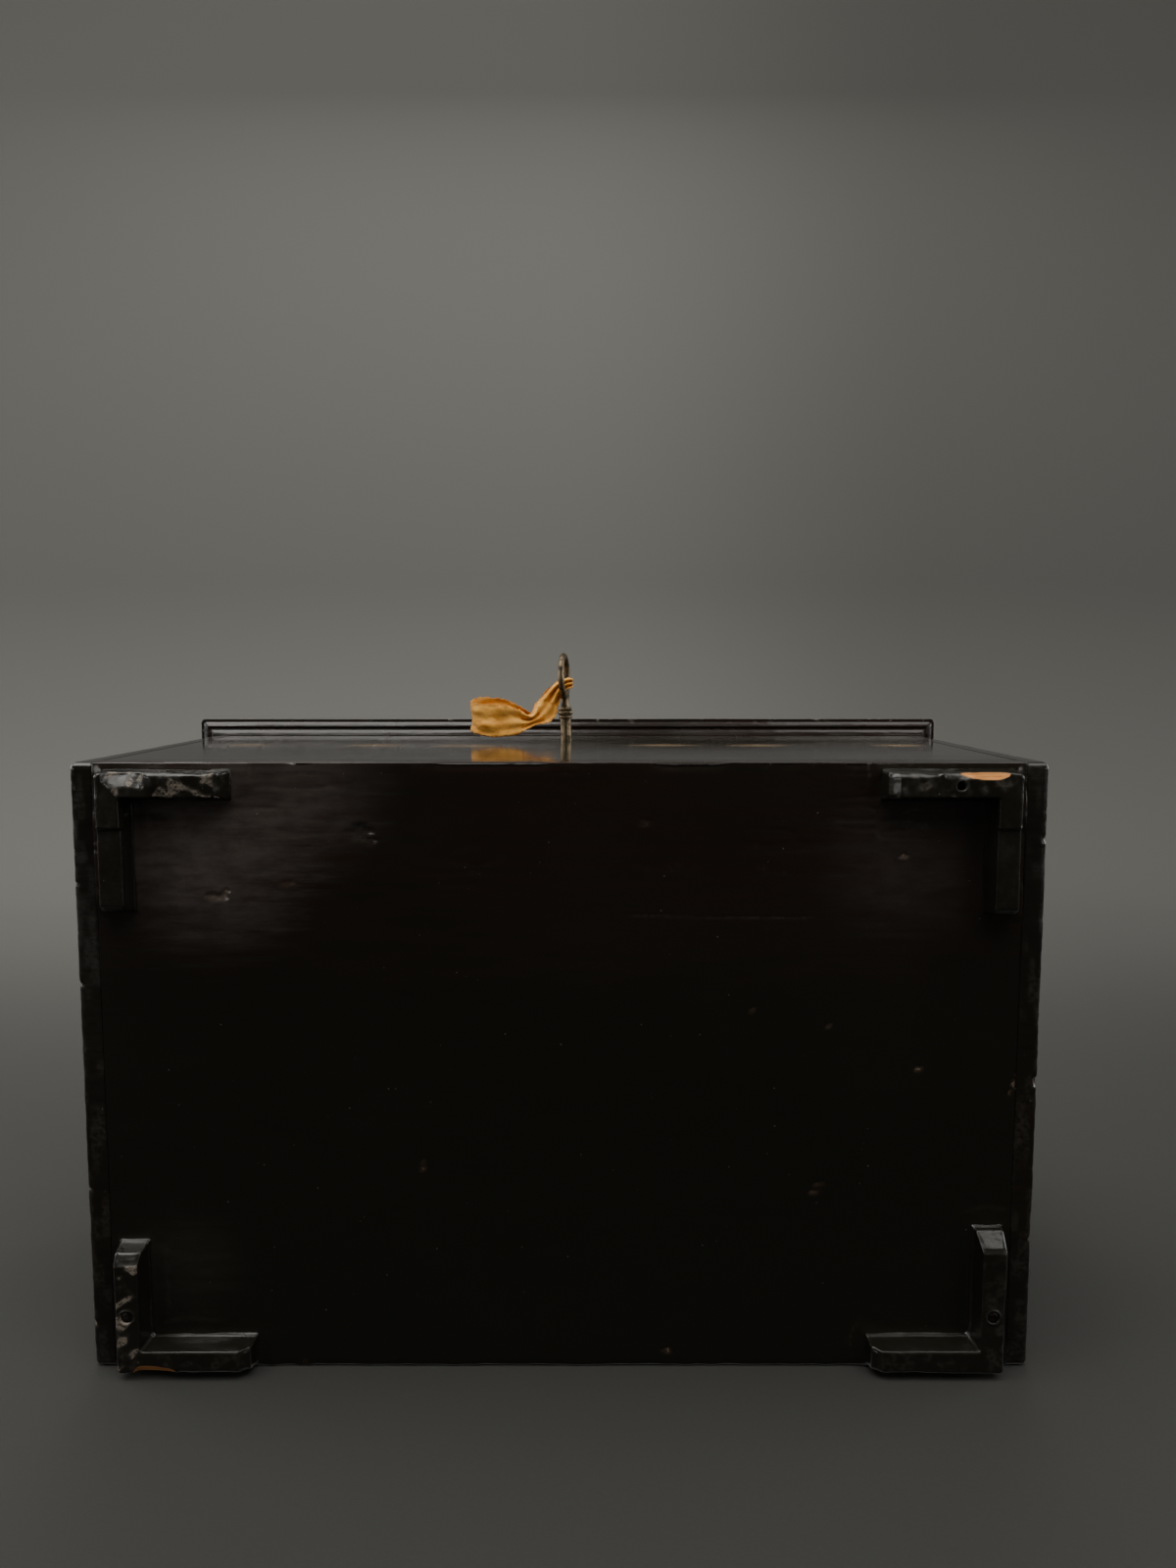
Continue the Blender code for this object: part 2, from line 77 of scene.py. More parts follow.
def metres(**sizes):
    # lengths given in millimetres, alone or in groups
    return {name: np.multiply(size, mm) for name, size in sizes.items()}


def hashed(cells, seed):
    # a repeatable number from 0 to 1 for each whole-numbered cell of space
    c = cells.astype(np.int64)
    n = (c[..., 0] * 73856093) ^ (c[..., 1] * 19349663) ^ (c[..., 2] * 83492791) ^ (seed * 2654435761)
    n = n & 0xFFFFFFFF
    for _ in range(2):
        n = (((n >> 16) ^ n) * 0x45D9F3B) & 0xFFFFFFFF
    return (((n >> 16) ^ n) & 0xFFFFFF) / 0xFFFFFF


latticeTurn = np.array(Matrix.Rotation(0.65, 3, (0.3, 0.5, 0.81)))


def noise(points, size, seed):
    # smooth noise from -1 to 1: the cell corners' numbers, blended by a quintic curve in each direction;
    # where the size is one number the cells are turned, so that they don't line up with the boards
    p = np.asarray(points) / size
    if np.ndim(size) == 0:
        p = p @ latticeTurn
    cell = np.floor(p)
    f = p - cell
    f = f ** 3 * (f * (f * 6 - 15) + 10)
    total = 0
    for corner in np.ndindex(2, 2, 2):
        weight = np.prod(np.where(np.array(corner, bool), f, 1 - f), axis=-1)
        total = total + weight * hashed(cell + np.array(corner), seed)
    return total * 2 - 1


def fade(low, high, value):
    # 0 below low and 1 above high, with a soft start and end
    t = np.clip((value - low) / (high - low), 0, 1)
    return t * t * (3 - 2 * t)


def fadeMm(low, high, value):
    # the same with low and high in millimetres
    return fade(low * mm, high * mm, value)


def between(value, low, high, outside, inside):
    # 1 from low to high, fading from outside each limit to inside it; all but the value in millimetres
    return fadeMm(low - outside, low + inside, value) * fadeMm(high + outside, high - inside, value)


def layers(points, rows):
    # noises added up, each row with the size, the cell (a length, or one for each axis) and the seed
    return sum(size * noise(points, np.array(cell), seed) for size, cell, seed in rows)


def stacked(*parts):
    # points from their coordinates, each of them an array or one number for all
    return np.stack(np.broadcast_arrays(*parts), axis=-1)


def stops(start, end, fine, coarse, band):
    # places along an edge: a fine spacing within band of both ends and a coarse one between them
    length = end - start
    band = min(band, length / 2)
    first = np.linspace(0, band, max(2, int(round(band / fine)) + 1))
    middle = np.linspace(band, length - band, max(2, int(round((length - 2 * band) / coarse)) + 1))
    last = length - first[::-1]
    return start + np.unique(np.round(np.concatenate([first, middle, last]), 7))


def gridNormals(points, closedU, closedV):
    # unit normals of a grid of points, from the differences along both directions
    def slope(axis, closed):
        if closed:
            return np.roll(points, -1, axis) - np.roll(points, 1, axis)
        return np.gradient(points, axis=axis)
    across = np.cross(slope(0, closedU), slope(1, closedV))
    size = np.linalg.norm(across, axis=-1, keepdims=True)
    return across / np.maximum(size, 1e-12)


def enclosed(points, quads):
    # six times the volume inside the faces: below zero where they are turned inwards
    a, b, c, d = (points[quads[:, k]] - points.mean(axis=0) for k in range(4))
    return np.sum(np.cross(a, b) * c) + np.sum(np.cross(a, c) * d)


def gridPiece(name, points, closedU=False, closedV=True, caps=(), marks=None, flip=False):
    # a mesh from a grid of points, joined round where it is closed, with a lid over its first or last row
    rows, cols = points.shape[:2]
    ids = np.arange(rows * cols).reshape(rows, cols)
    u = np.arange(rows if closedU else rows - 1)
    v = np.arange(cols if closedV else cols - 1)
    a = ids[np.ix_(u, v)]
    b = ids[np.ix_((u + 1) % rows, v)]
    c = ids[np.ix_((u + 1) % rows, (v + 1) % cols)]
    d = ids[np.ix_(u, (v + 1) % cols)]
    quads = np.stack([a, b, c, d], axis=-1).reshape(-1, 4)
    flat = points.reshape(-1, 3)
    if caps or (closedU and closedV):
        flip = enclosed(flat, quads) < 0
    if flip:
        quads = quads[:, ::-1]
    faces = quads.tolist()
    for row in caps:
        ring = ids[row].tolist()
        faces.append(ring if (row == 0) != flip else ring[::-1])
    mesh = bpy.data.meshes.new(name)
    mesh.from_pydata(flat.tolist(), [], faces)
    smooth = np.ones(len(faces), bool)
    smooth[len(quads):] = False
    mesh.polygons.foreach_set("use_smooth", smooth)
    for label, values in (marks or {}).items():
        layer = mesh.attributes.new(label, "FLOAT", "POINT")
        layer.data.foreach_set("value", np.asarray(values, np.float32).reshape(-1))
    mesh.validate()
    mesh.update()
    piece = bpy.data.objects.new(name, mesh)
    bpy.context.scene.collection.objects.link(piece)
    return piece


def place(piece, node, finish):
    # the piece rides on the body, stands for its node and takes its finish
    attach(piece, "root")
    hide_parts(node)
    piece.data.materials.clear()
    piece.data.materials.append(finish)


def solidPiece(node, points, slotName, finish, **marks):
    # a closed piece in place of a node
    place(gridPiece(pieceName(node), points, caps=(0, -1), marks=marks), node, finish)


# Finishes


class Wire:
    # a socket that can be used in sums, such as 1 - wire * 2
    def __init__(self, socket):
        self.socket = socket

    def sum(self, operation, *values):
        node = self.socket.id_data.nodes.new("ShaderNodeMath")
        node.operation = operation
        for slot, value in zip(node.inputs, values):
            plug(slot, value)
        return Wire(node.outputs[0])

    def __add__(self, other):
        return self.sum("ADD", self, other)

    def __sub__(self, other):
        return self.sum("SUBTRACT", self, other)

    def __rsub__(self, other):
        return self.sum("SUBTRACT", other, self)

    def __mul__(self, other):
        return self.sum("MULTIPLY", self, other)

    def __truediv__(self, other):
        return self.sum("DIVIDE", self, other)

    def __pow__(self, other):
        return self.sum("POWER", self, other)

    __radd__ = __add__
    __rmul__ = __mul__

    def most(self, other):
        return self.sum("MAXIMUM", self, other)

    def least(self, other):
        return self.sum("MINIMUM", self, other)


def plug(slot, value):
    # a wire is linked to the slot, and a plain value is set on it
    if isinstance(value, Wire):
        slot.id_data.links.new(value.socket, slot)
    elif hasattr(slot, "default_value"):
        if isinstance(value, tuple) and len(value) == 3 < len(slot.default_value):
            value = (*value, 1)
        slot.default_value = value


class Finish:
    def __init__(self, name, **plain):
        self.material = bpy.data.materials.new(name)
        self.material.use_nodes = True
        self.tree = self.material.node_tree
        self.shader = self.tree.nodes["Principled BSDF"]
        self.set(**plain)

    def set(self, **values):
        for label, value in values.items():
            plug(self.shader.inputs[label.replace("_", " ")], value)

    def node(self, kind, settings=None, inputs=None, output=0):
        made = self.tree.nodes.new("ShaderNode" + kind)
        for label, value in (settings or {}).items():
            setattr(made, label, value)
        for label, value in (inputs or {}).items():
            plug(made.inputs[label], value)
        return Wire(made.outputs[output])

    def place(self, scale, shift):
        where = self.node("TexCoord", output="Object")
        return self.node("Mapping", None, {"Vector": where, "Scale": scale, "Location": shift})

    def noise(self, scale, detail=3, rough=0.55, stretch=(1, 1, 1), shift=(0, 0, 0)):
        where = self.place(stretch, shift)
        values = {"Vector": where, "Scale": scale, "Detail": detail, "Roughness": rough}
        return self.node("TexNoise", None, values, "Fac")

    def spots(self, scale, shift=(0, 0, 0), stretch=(1, 1, 1), feature="F1"):
        where = self.place(stretch, shift)
        return self.node("TexVoronoi", {"feature": feature}, {"Vector": where, "Scale": scale}, "Distance")

    def ramp(self, wire, low, high, first=0.0, last=1.0):
        values = {"Value": wire, "From Min": low, "From Max": high, "To Min": first, "To Max": last}
        return self.node("MapRange", {"interpolation_type": "SMOOTHSTEP"}, values)

    def blend(self, mask, first, last):
        return self.node("Mix", {"data_type": "RGBA"}, {0: mask, 6: first, 7: last}, 2)

    def mark(self, label):
        return self.node("Attribute", {"attribute_name": label}, output="Fac")

    def axis(self, label):
        where = self.node("TexCoord", output="Object")
        return self.node("SeparateXYZ", None, {"Vector": where}, label)

    def relief(self, height, distance, strength, under=None):
        values = {"Height": height, "Distance": distance, "Strength": strength}
        if under is not None:
            values["Normal"] = under
        return self.node("Bump", None, values)


lacquerLook = {
    "black": (0.0080, 0.0076, 0.0049),
    "brown": (0.0140, 0.0070, 0.0047),
    # grey of the painted sheen patches
    "haze": (0.080, 0.067, 0.059),
    "dust": (0.16, 0.145, 0.13),
    # the rubbed colour paints rubbed lacquer and, where the worn mark carries it, painted sheen
    "rubbed": (0.062, 0.056, 0.049),
    "chipped": (0.26, 0.215, 0.17),     # where a dent has broken the lacquer; also a pale painted highlight where the worn mark is strong
    "bareWood": (0.58, 0.255, 0.065),
    "woodGrain": (0.43, 0.150, 0.032),
    "coat": 0.3,
}


def lacquerFinish(name, brown=0.3, gloss=0.16, dull=0.34, grain=(1.2, 14, 14), dust=0.5, scratchy=0.5,
                  waves=0.25, front=None, paintedSheens=(), pits=0.25):
    # black lacquer over wood: brown where it has worn thin, smeared gloss, dust specks, hair scratches, grey
    # patches of painted sheen where given, and, where the mesh is marked worn or raw, dulled lacquer (with
    # painted highlights that share the worn mark) and bare wood
    look = lacquerLook
    f = Finish(name, Coat_Roughness=0.05, Specular_IOR_Level=0.5)
    streaks = f.noise(30, 6, 0.68, grain)
    patches = f.noise(11, 3, 0.5, shift=(0.3, 0.2, 0))
    thin = f.ramp(streaks * 0.55 + patches * 0.45, 0.28, 0.64) * brown
    if front is not None:
        thin = thin * f.ramp(f.axis("Y") + (patches - 0.5) * 0.05, front[1], front[0])
    colour = f.blend(thin, look["black"], look["brown"])
    mottle = f.ramp(f.noise(210, 4, 0.7, (0.5, 1, 1)), 0.32, 0.66, 0.60, 1.05) if paintedSheens else None
    # soft grey patches of painted sheen, broken up by the mottle
    for sheenX, sheenY, radius, strength in paintedSheens:
        dx = (f.axis("X") - sheenX * mm) / (radius * mm)
        dy = (f.axis("Y") - middleY - sheenY * mm) / (radius * mm)
        glow = f.ramp((dx * dx + dy * dy) ** 0.5 + (streaks - 0.5) * 0.85, 1.0, 0.0)
        colour = f.blend(glow * strength * mottle, colour, look["haze"])
    specks = f.ramp(f.spots(430), 0.13, 0.05) * f.ramp(f.noise(330, 1, 0.4, shift=(5, 5, 5)), 0.63, 0.70)
    colour = f.blend(specks * dust, colour, look["dust"])
    # the worn mark holds wear and painted highlights, and the rubbed and chipped colours paint both
    worn = f.mark("worn")
    raw = f.mark("raw")
    colour = f.blend(worn * f.ramp(f.noise(700, 3), 0.35, 0.65) * 0.45, colour, look["rubbed"])
    broken = f.ramp(worn, 0.6, 1.0) * f.ramp(f.noise(1300, 2), 0.3, 0.6) * 0.8
    colour = f.blend(broken, colour, look["chipped"])
    fibre = f.noise(900, 3, 0.6, (0.06, 1, 1))
    wood = f.blend(f.ramp(fibre, 0.3, 0.7), look["bareWood"], look["woodGrain"])
    colour = f.blend(raw, colour, wood)
    smears = f.noise(16, 4, 0.6)
    rough = f.ramp(smears, 0.35, 0.7, gloss, dull) + specks * 0.3 + worn * 0.22 + raw * 0.4
    coat = (look["coat"] - raw - worn * 0.2).most(0.0)
    f.set(Base_Color=colour, Roughness=rough.least(0.9), Coat_Weight=coat)
    swell = f.relief(f.noise(55, 3, 0.5, grain), 0.0006, waves)
    pores = f.relief(f.noise(1100, 2, 0.5, (0.4, 1, 1)), 0.00008, pits, swell)
    if scratchy > 0:
        hairs = f.ramp(f.spots(60, (0.3, 0.1, 0), (0.15, 1, 1), "DISTANCE_TO_EDGE"), 0.0, 0.004)
        pores = f.relief(hairs, 0.00010, scratchy * 0.15, pores)
    f.set(Normal=pores)
    return f


frontLook = {
    "film": (0.014, 0.0126, 0.0088),     # thin grey film painted over the lacquer: painted reflection
    "mirror": 0.28,
    "coat": 0.2,
    "gold": (0.42, 0.27, 0.125),
    "strength": 0.62,
    # worn gilt clouds: x from the middle, height above the underside, half width, half height (mm)
    "clouds": ((-70, 78, 15, 8), (-37, 76, 16, 8), (37, 79, 18, 8), (72, 78, 15, 8), (124, 78, 12, 8),
               (-118, 81, 12, 7)),
}


def frontFinish():
    # the polished front: mirror gloss, soft smears, a grey painted reflection in its colour, and worn gilt
    # clouds in a row near the rim
    f = lacquerFinish("Polished front lacquer", 0.2, 0.09, 0.16, (1, 2, 2), 0.15, 0, 0.01, pits=0.03)
    x, z = f.axis("X"), f.axis("Z")
    gilt = None
    cloudy = f.noise(120, 4, 0.6)
    for where, height, wide, high in frontLook["clouds"]:
        dx = (x - where * mm) / (wide * mm)
        dz = (z - (undersideZ + height * mm)) / (high * mm)
        one = f.ramp((dx * dx + dz * dz) ** 0.5 + (cloudy - 0.5) * 0.8, 1.0, 0.1)
        gilt = one if gilt is None else gilt.most(one)
    dusted = f.ramp(f.noise(520, 4, 0.7), 0.30, 0.66, 0.30, 1.0)
    mask = gilt * dusted * frontLook["strength"]
    colour, rough, coat = (Wire(f.shader.inputs[label].links[0].from_socket)
                           for label in ("Base Color", "Roughness", "Coat Weight"))
    # half a grey film in the base colour: painted reflection
    colour = f.blend(0.5, colour, frontLook["film"])
    f.set(Base_Color=f.blend(mask, colour, frontLook["gold"]), Roughness=rough + mask * 0.25)
    f.set(Metallic=mask, Coat_Weight=coat * frontLook["coat"] * (1 - mask))
    f.set(Specular_IOR_Level=frontLook["mirror"])
    return f


def metalFinish(name, bright, dark, roughness, pits):
    # old metal: darkened in patches, brighter where it is rubbed, finely pitted
    f = Finish(name, Metallic=0.85)
    patches = f.noise(380, 4, 0.6)
    grime = f.ramp(patches, 0.40, 0.66)
    colour = f.blend(grime, bright, dark)
    rubbed = f.mark("worn")
    colour = f.blend(rubbed * 0.5, colour, bright)
    f.set(Base_Color=colour, Roughness=f.ramp(patches, 0.3, 0.7, roughness, roughness + 0.25))
    fine = f.relief(f.noise(1500, 3, 0.6), 0.00012, pits)
    f.set(Normal=f.relief(f.spots(900), 0.00006, pits * 0.7, fine))
    return f.material


silkLook = {
    "light": (0.88, 0.45, 0.092),
    "dark": (0.58, 0.245, 0.036),
    "edge": (0.32, 0.115, 0.014),
    "thread": 0.42,          # mm between two threads
}


def silkFinish():
    # plain woven silk: threads along and across from the cloth's own measures, with painted shade where the
    # weave dips between threads, darker at its edges
    look = silkLook
    f = Finish("Gold silk", Sheen_Weight=0.18, Sheen_Roughness=0.4, Sheen_Tint=(0.95, 0.62, 0.22, 1),
               Specular_IOR_Level=0.25)
    along, across = f.mark("along"), f.mark("across")
    turn = 2 * np.pi / look["thread"]
    warp = (across * turn).sum("SINE", across * turn)
    weft = (along * turn).sum("SINE", along * turn)
    weave = (warp + weft) * 0.25 + 0.5
    shade = f.noise(170, 4, 0.6)
    colour = f.blend(f.ramp(shade, 0.30, 0.72), look["dark"], look["light"])
    # darker where the weave dips between threads: painted shade
    colour = f.blend((1 - weave) * 0.30, colour, look["dark"])
    rim = f.ramp(across.sum("ABSOLUTE", across), 5.6, 7.2)
    colour = f.blend(rim * f.ramp(f.noise(420, 3), 0.3, 0.6) * 0.75, colour, look["edge"])
    f.set(Base_Color=colour, Roughness=f.ramp(shade, 0.3, 0.7, 0.50, 0.72))
    crinkle = f.relief(f.noise(620, 4, 0.6), 0.0002, 0.45)
    f.set(Normal=f.relief(weave, 0.00006, 0.55, crinkle))
    return f.material


blackLacquer = lacquerFinish("Black lacquer", waves=0.12).material
# painted sheen on the underside, as grey patches: x and y from its middle, radius (mm), strength
paintedUnderSheens = ((-108, -70, 40, 0.80), (-78, -88, 32, 0.50), (106, -66, 32, 0.24), (-118, 62, 24, 0.12))
undersideLacquer = lacquerFinish(
    "Underside lacquer", 0.95, 0.17, 0.30, (1.2, 12, 12), scratchy=0, waves=0.06,
    front=(frontY + 0.025, frontY + 0.095), paintedSheens=paintedUnderSheens
).material
footLacquer = lacquerFinish("Foot lacquer", 0.08, 0.20, 0.38, (1, 2, 2), 0.5, 0, 0.10, pits=0.45).material
brownLacquer = lacquerFinish("Brown lacquer", 1.0, 0.18, 0.32, (4, 4, 4), 0.3, 0, 0.12).material
frontLacquer = frontFinish().material
agedBrass = metalFinish("Aged brass", (0.25, 0.19, 0.115), (0.042, 0.032, 0.021), 0.30, 0.5)
nailIron = metalFinish("Nail iron", (0.060, 0.050, 0.043), (0.014, 0.011, 0.009), 0.42, 0.8)
goldSilk = silkFinish()
print("finishes made")


# Boards: a rectangle with rounded corners carried along the board, drawn in at both ends


def roundedOutline(low, high, radii, spacing):
    # outline of a rectangle, anticlockwise from its lower left corner, with the outward direction at
    # each point; radii are those of the corners in that order, and spacing is fine, coarse and band
    corners = ((low[0], low[1], 180), (high[0], low[1], 270), (high[0], high[1], 0), (low[0], high[1], 90))
    inward = np.array([[1, 1], [-1, 1], [-1, -1], [1, -1]])
    centres = [np.array(corners[k][:2]) + inward[k] * radii[k] for k in range(4)]
    points, outward = [], []
    for k in range(4):
        r, start, following = radii[k], corners[k][2], (k + 1) % 4
        angles = np.radians(np.linspace(start, start + 90, max(3, int(r / (0.25 * mm)) + 2)))
        around = stacked(np.cos(angles), np.sin(angles))
        points.append(centres[k] + around * r)
        outward.append(around)
        begin = points[-1][-1]
        finish = centres[following] + around[-1] * radii[following]
        length = np.linalg.norm(finish - begin)
        fine, coarse, band = spacing[k]
        along = stops(0, length, fine, coarse, band)[1:-1, None] / length
        points.append(begin + (finish - begin) * along)
        outward.append(np.repeat(around[-1:], len(along), axis=0))
    return np.concatenate(points), np.concatenate(outward)


def boardSurface(outline, outward, stations, endRound):
    # carries the outline along the stations and draws it in over the last endRound of both ends, as
    # a quarter circle; gives points and outward directions with the last axis along, across, up
    near = np.minimum(stations - stations[0], stations[-1] - stations)
    t = np.clip(1 - near / endRound, 0, 1)
    inset = endRound * (1 - np.sqrt(1 - t ** 2))
    across, up = np.moveaxis(outline[None] - outward[None] * inset[:, None, None], -1, 0)
    lean = (t * np.where(stations - stations[0] < stations[-1] - stations, -1, 1))[:, None]
    flat = np.sqrt(1 - np.minimum(lean, 0.999) ** 2)
    return stacked(stations[:, None], across, up), stacked(lean, outward[:, 0] * flat, outward[:, 1] * flat)


# Feet: the outline of each L, drawn in with height, and pooled lacquer round each

footLook = {
    **metres(width=9.6, outerSlope=0.8, innerSlope=1.6, endSlope=1.0, edgeRound=0.7, endRound=0.7),
    **metres(cornerRound=1.5, cornerFill=1.1, poolHeight=0.8, poolFlare=0.45, fine=0.32, nailFromCorner=19.5),
    "endRings": 11,
    # planing marks, lumps of lacquer and grit: size and cell (mm and m), seed
    "lumps": ((0.13, 0.0095, 70), (0.045, 0.0036, 71), (0.014, 0.0011, 72)),
}
footStyles = {
    # in millimetres along a leg from the corner of the foot, unless said: chamfer at each leg's end (height,
    # depth, further lean), rough stretches (leg, from, to, size), further lean of the outer side of the leg
    # along X (near the corner, beyond), how pale both legs' soles are made, for rubbing and painted sheen,
    # facets cut into the sole (leg, from, depth, lean), bevels along its outer edge (leg, from, to, width,
    # drop, level part), chips (from, to, across, up, slant in degrees), nails (leg, radius, dent, rim; a rim
    # also gets a painted highlight)
    "front_left": {
        "endX": (1.6, 1.0, 1.3), "endY": (2.0, 1.4, 0),
        "rough": (("x", 17, 42, 0.46), ("y", 2, 20, 0.10)),
        "lean": (-0.5, -0.2),
        "rubbed": (0.9, 0.15),
        "facets": (("y", 17.5, 0.9, 0.05), ("x", 19.0, 0.35, 0.10)),
        "bevels": (("x", 3.8, 15.0, 5.2, 2.9, 1.5), ("x", 16.5, 36, 1.9, 0.8, 0.7),
                   ("y", 2.0, 17.0, 1.6, 0.9, 0)),
    },
    "front_right": {
        "endX": (2.2, 2.4, 0), "endY": (1.6, 1.2, 0),
        "rough": (("x", 19, 41, 0.28),),
        "lean": (-0.4, -0.3),
        "rubbed": (0.7, 0.15),
        "facets": (("y", 17.5, 0.9, -0.05),),
        "bevels": (("x", 16.5, 24, 2.6, 1.7, 0.4), ("x", 26, 40, 2.2, 1.4, 0.5),
                   ("y", 3.0, 17.0, 1.6, 0.9, 0)),
        "chips": ((5.6, 20.5, 1.6, 1.0, 38.0),),
        "nails": (("x", 1.05, 4.0, 0.15),),
    },
    "back_left": {
        "endX": (2.4, 2.8, 0), "endY": (2.6, 2.1, 1.7),
        "rough": (("x", 20, 44, 0.12),),
        "lean": (0.3, 0.3),
        "rubbed": (0.5, 0.9),
        "bevels": (("y", 8.0, 34, 0.9, 0.6, 0), ("x", 20, 42, 2.2, 1.2, 0)),
        "chips": ((6.0, 19.0, 2.3, 1.0, 38.0),),
        "nails": (("y", 1.75, 0.55, 0.28),),
    },
    "back_right": {
        "endX": (2.4, 2.6, 0), "endY": (5.5, 3.8, 0.6),
        "rough": (("x", 18, 42, 0.12), ("y", 14, 24, 0.12)),
        "lean": (0.3, 0.3),
        "rubbed": (0.45, 0.6),
        "bevels": (("y", 4.0, 30, 1.2, 0.8, 0), ("x", 22, 42, 1.6, 0.9, 0)),
        "nails": (("y", 1.6, 0.55, 0.35),),
    },
}
# each foot's side (left is below zero) and end (the front is below zero)
footNames = {"front_left": (-1, -1), "front_right": (1, -1), "back_left": (-1, 1), "back_right": (1, 1)}
nailMiddle = (footLook["width"] + footLook["outerSlope"] - footLook["innerSlope"]) / 2     # across a sole
mitreShift = 0.293      # of the radius: how far in an arc round a corner crosses its mitre


def footFrame(name):
    # outer corner of the foot, the directions inwards, the lengths of its two legs, and its top
    low, high = nodeBox("foot_" + name)
    side, end = footNames[name]
    corner = np.array([high[0] if side > 0 else low[0], high[1] if end > 0 else low[1]])
    return corner, np.array([-side, -end]), high[0] - low[0], high[1] - low[1], high[2]


def footDistance(x, y, name):
    # distance from the L of a foot on the underside: the nearer of its two legs
    corner, inward, legX, legY, _ = footFrame(name)
    a, b = (x - corner[0]) * inward[0], (y - corner[1]) * inward[1]
    best = None
    for long, wide in ((legX, footLook["width"]), (footLook["width"], legY)):
        qa = np.abs(a - long / 2) - long / 2
        qb = np.abs(b - wide / 2) - wide / 2
        far = np.hypot(np.maximum(qa, 0), np.maximum(qb, 0)) + np.minimum(np.maximum(qa, qb), 0)
        best = far if best is None else np.minimum(best, far)
    return best


underLook = {
    # the lacquer stands up by pool against the feet, and its thick part ends in a lip round them
    **metres(frontRound=0.28, pool=0.6, poolReach=1.2, lip=0.48, lipReach=4.6, crack=0.22),
    # broad waves along the grain: size (mm), cell (m), seed
    "waves": ((0.10, (0.060, 0.022, 1), 3), (0.04, (0.022, 0.007, 1), 4), (0.012, (0.005, 0.0018, 1), 5)),
    # stretches of the front lower edge that have lost more lacquer: from, to and depth (mm)
    "losses": ((-37, -5, 0.55), (31, 50, 0.6), (-128, -104, 0.3), (88, 101, 0.35)),
    # dents and chips: x, y from the middle of the underside, radius, depth, stretch along x, raw
    "marks": (
        (-61, -76, 2.6, 0.75, 1.5, 0.0), (-58, -73, 1.4, 0.6, 1.2, 0.0), (-106, -56, 1.5, 0.55, 2.4, 0.5),
        (-103, -57.5, 1.0, 0.5, 1.4, 0.6), (-84, -60, 1.3, 0.3, 1.8, 0.3), (-43, 31, 1.1, 0.5, 0.8, 0.9),
        (-44, 29, 0.7, 0.4, 0.8, 0.7), (80, 39, 1.0, 0.4, 2.2, 0.6), (82, 36.5, 0.6, 0.35, 1.6, 0.5),
        (112, -1, 0.8, 0.35, 1.6, 0.8), (34, 92, 1.2, 0.45, 1.2, 0.7), (-83, 96, 1.4, 0.5, 1.0, 0.3),
        (143, 3, 1.5, 0.8, 1.0, 0.9), (141.2, 6.5, 0.9, 0.6, 0.8, 0.9), (106, -68.5, 0.9, 0.4, 2.0, 0.7),
        (26, -79, 1.2, 0.35, 2.0, 0.1), (60, -20, 0.5, 0.25, 1.0, 0.5), (84, -15, 0.5, 0.25, 1.2, 0.5),
        (-76, 4, 0.5, 0.2, 1.0, 0.4), (20, 12, 0.4, 0.2, 1.0, 0.4), (95, 60, 0.45, 0.2, 1.0, 0.4),
        (-22, -8, 0.4, 0.2, 1.0, 0.4),
    ),
}


def underRelief(x, y):
    # how far the underside stands down from flat, in metres: broad waves along the grain, lacquer
    # pooled against the feet, the lip where the thick lacquer ends, dents and chips; its worn mark also
    # paints a highlight along the lip's edge
    spot = stacked(x, y, 0)
    height = layers(spot, underLook["waves"]) * mm
    worn = np.zeros_like(x)
    raw = np.zeros_like(x)
    for k, name in enumerate(footNames):
        far = footDistance(x, y, name)
        ragged = layers(spot, ((1.6, 0.011, 20 + k), (0.7, 0.004, 30 + k))) * mm
        pool = np.exp(-np.maximum(far, 0) / underLook["poolReach"])
        height += underLook["pool"] * pool * fadeMm(-1.2, -0.3, far)
        edge = underLook["lipReach"] + ragged
        patchy = (1.5 if "front" in name else 0.6) * fade(-0.25, 0.35, noise(spot, 0.014, 45 + k))
        height += underLook["lip"] * patchy * fade(edge + 0.75 * mm, edge - 0.75 * mm, far)
        # a pale line along the lip's edge, marked worn: painted highlight
        rim = np.exp(-((far - edge) / (0.55 * mm)) ** 2) * fade(0.15, 0.6, noise(spot, 0.0085, 35 + k))
        worn = np.maximum(worn, 0.8 * rim * np.minimum(patchy, 1))
        rough = fadeMm(13, 2, far)
        height += rough * 0.09 * mm * noise(spot, 0.0032, 40 + k)
    # fine cracks along the grain in the worn front third
    cracked = fade(0.0, 0.5, noise(spot, 0.026, 7)) * fade(frontY + 0.05, frontY + 0.015, y)
    cracks = fade(0.30, 0.04, np.abs(noise(spot, np.array([0.013, 0.0034, 1]), 6)))
    height -= underLook["crack"] * cracks * cracked
    worn = np.maximum(worn, 0.5 * cracks * cracked * fade(0.1, 0.6, noise(spot, 0.0024, 8)))
    for mx, my, radius, depth, stretch, bare in underLook["marks"]:
        dx = (x - mx * mm) / (radius * mm * stretch)
        dy = (y - middleY - my * mm) / (radius * mm)
        far = np.hypot(dx, dy) + 0.45 * noise(spot, 0.0011, int(mx) + 200)
        dip = fade(1.15, 0.55, far)
        height -= depth * mm * dip - 0.12 * mm * fade(1.8, 1.2, far) * fade(0.8, 1.2, far)
        worn = np.maximum(worn, (0.4 + 0.65 * bare) * dip)
        raw = np.maximum(raw, 0.07 * bare * dip)
    scratch = fadeMm(0.45, 0.1, np.abs(y - middleY + 49.5 * mm - 0.01 * (x - 50 * mm)))
    scratch *= between(x, 20, 80, 0, 6)
    height -= 0.12 * mm * scratch
    worn = np.maximum(worn, 0.6 * scratch)
    return height, worn, raw


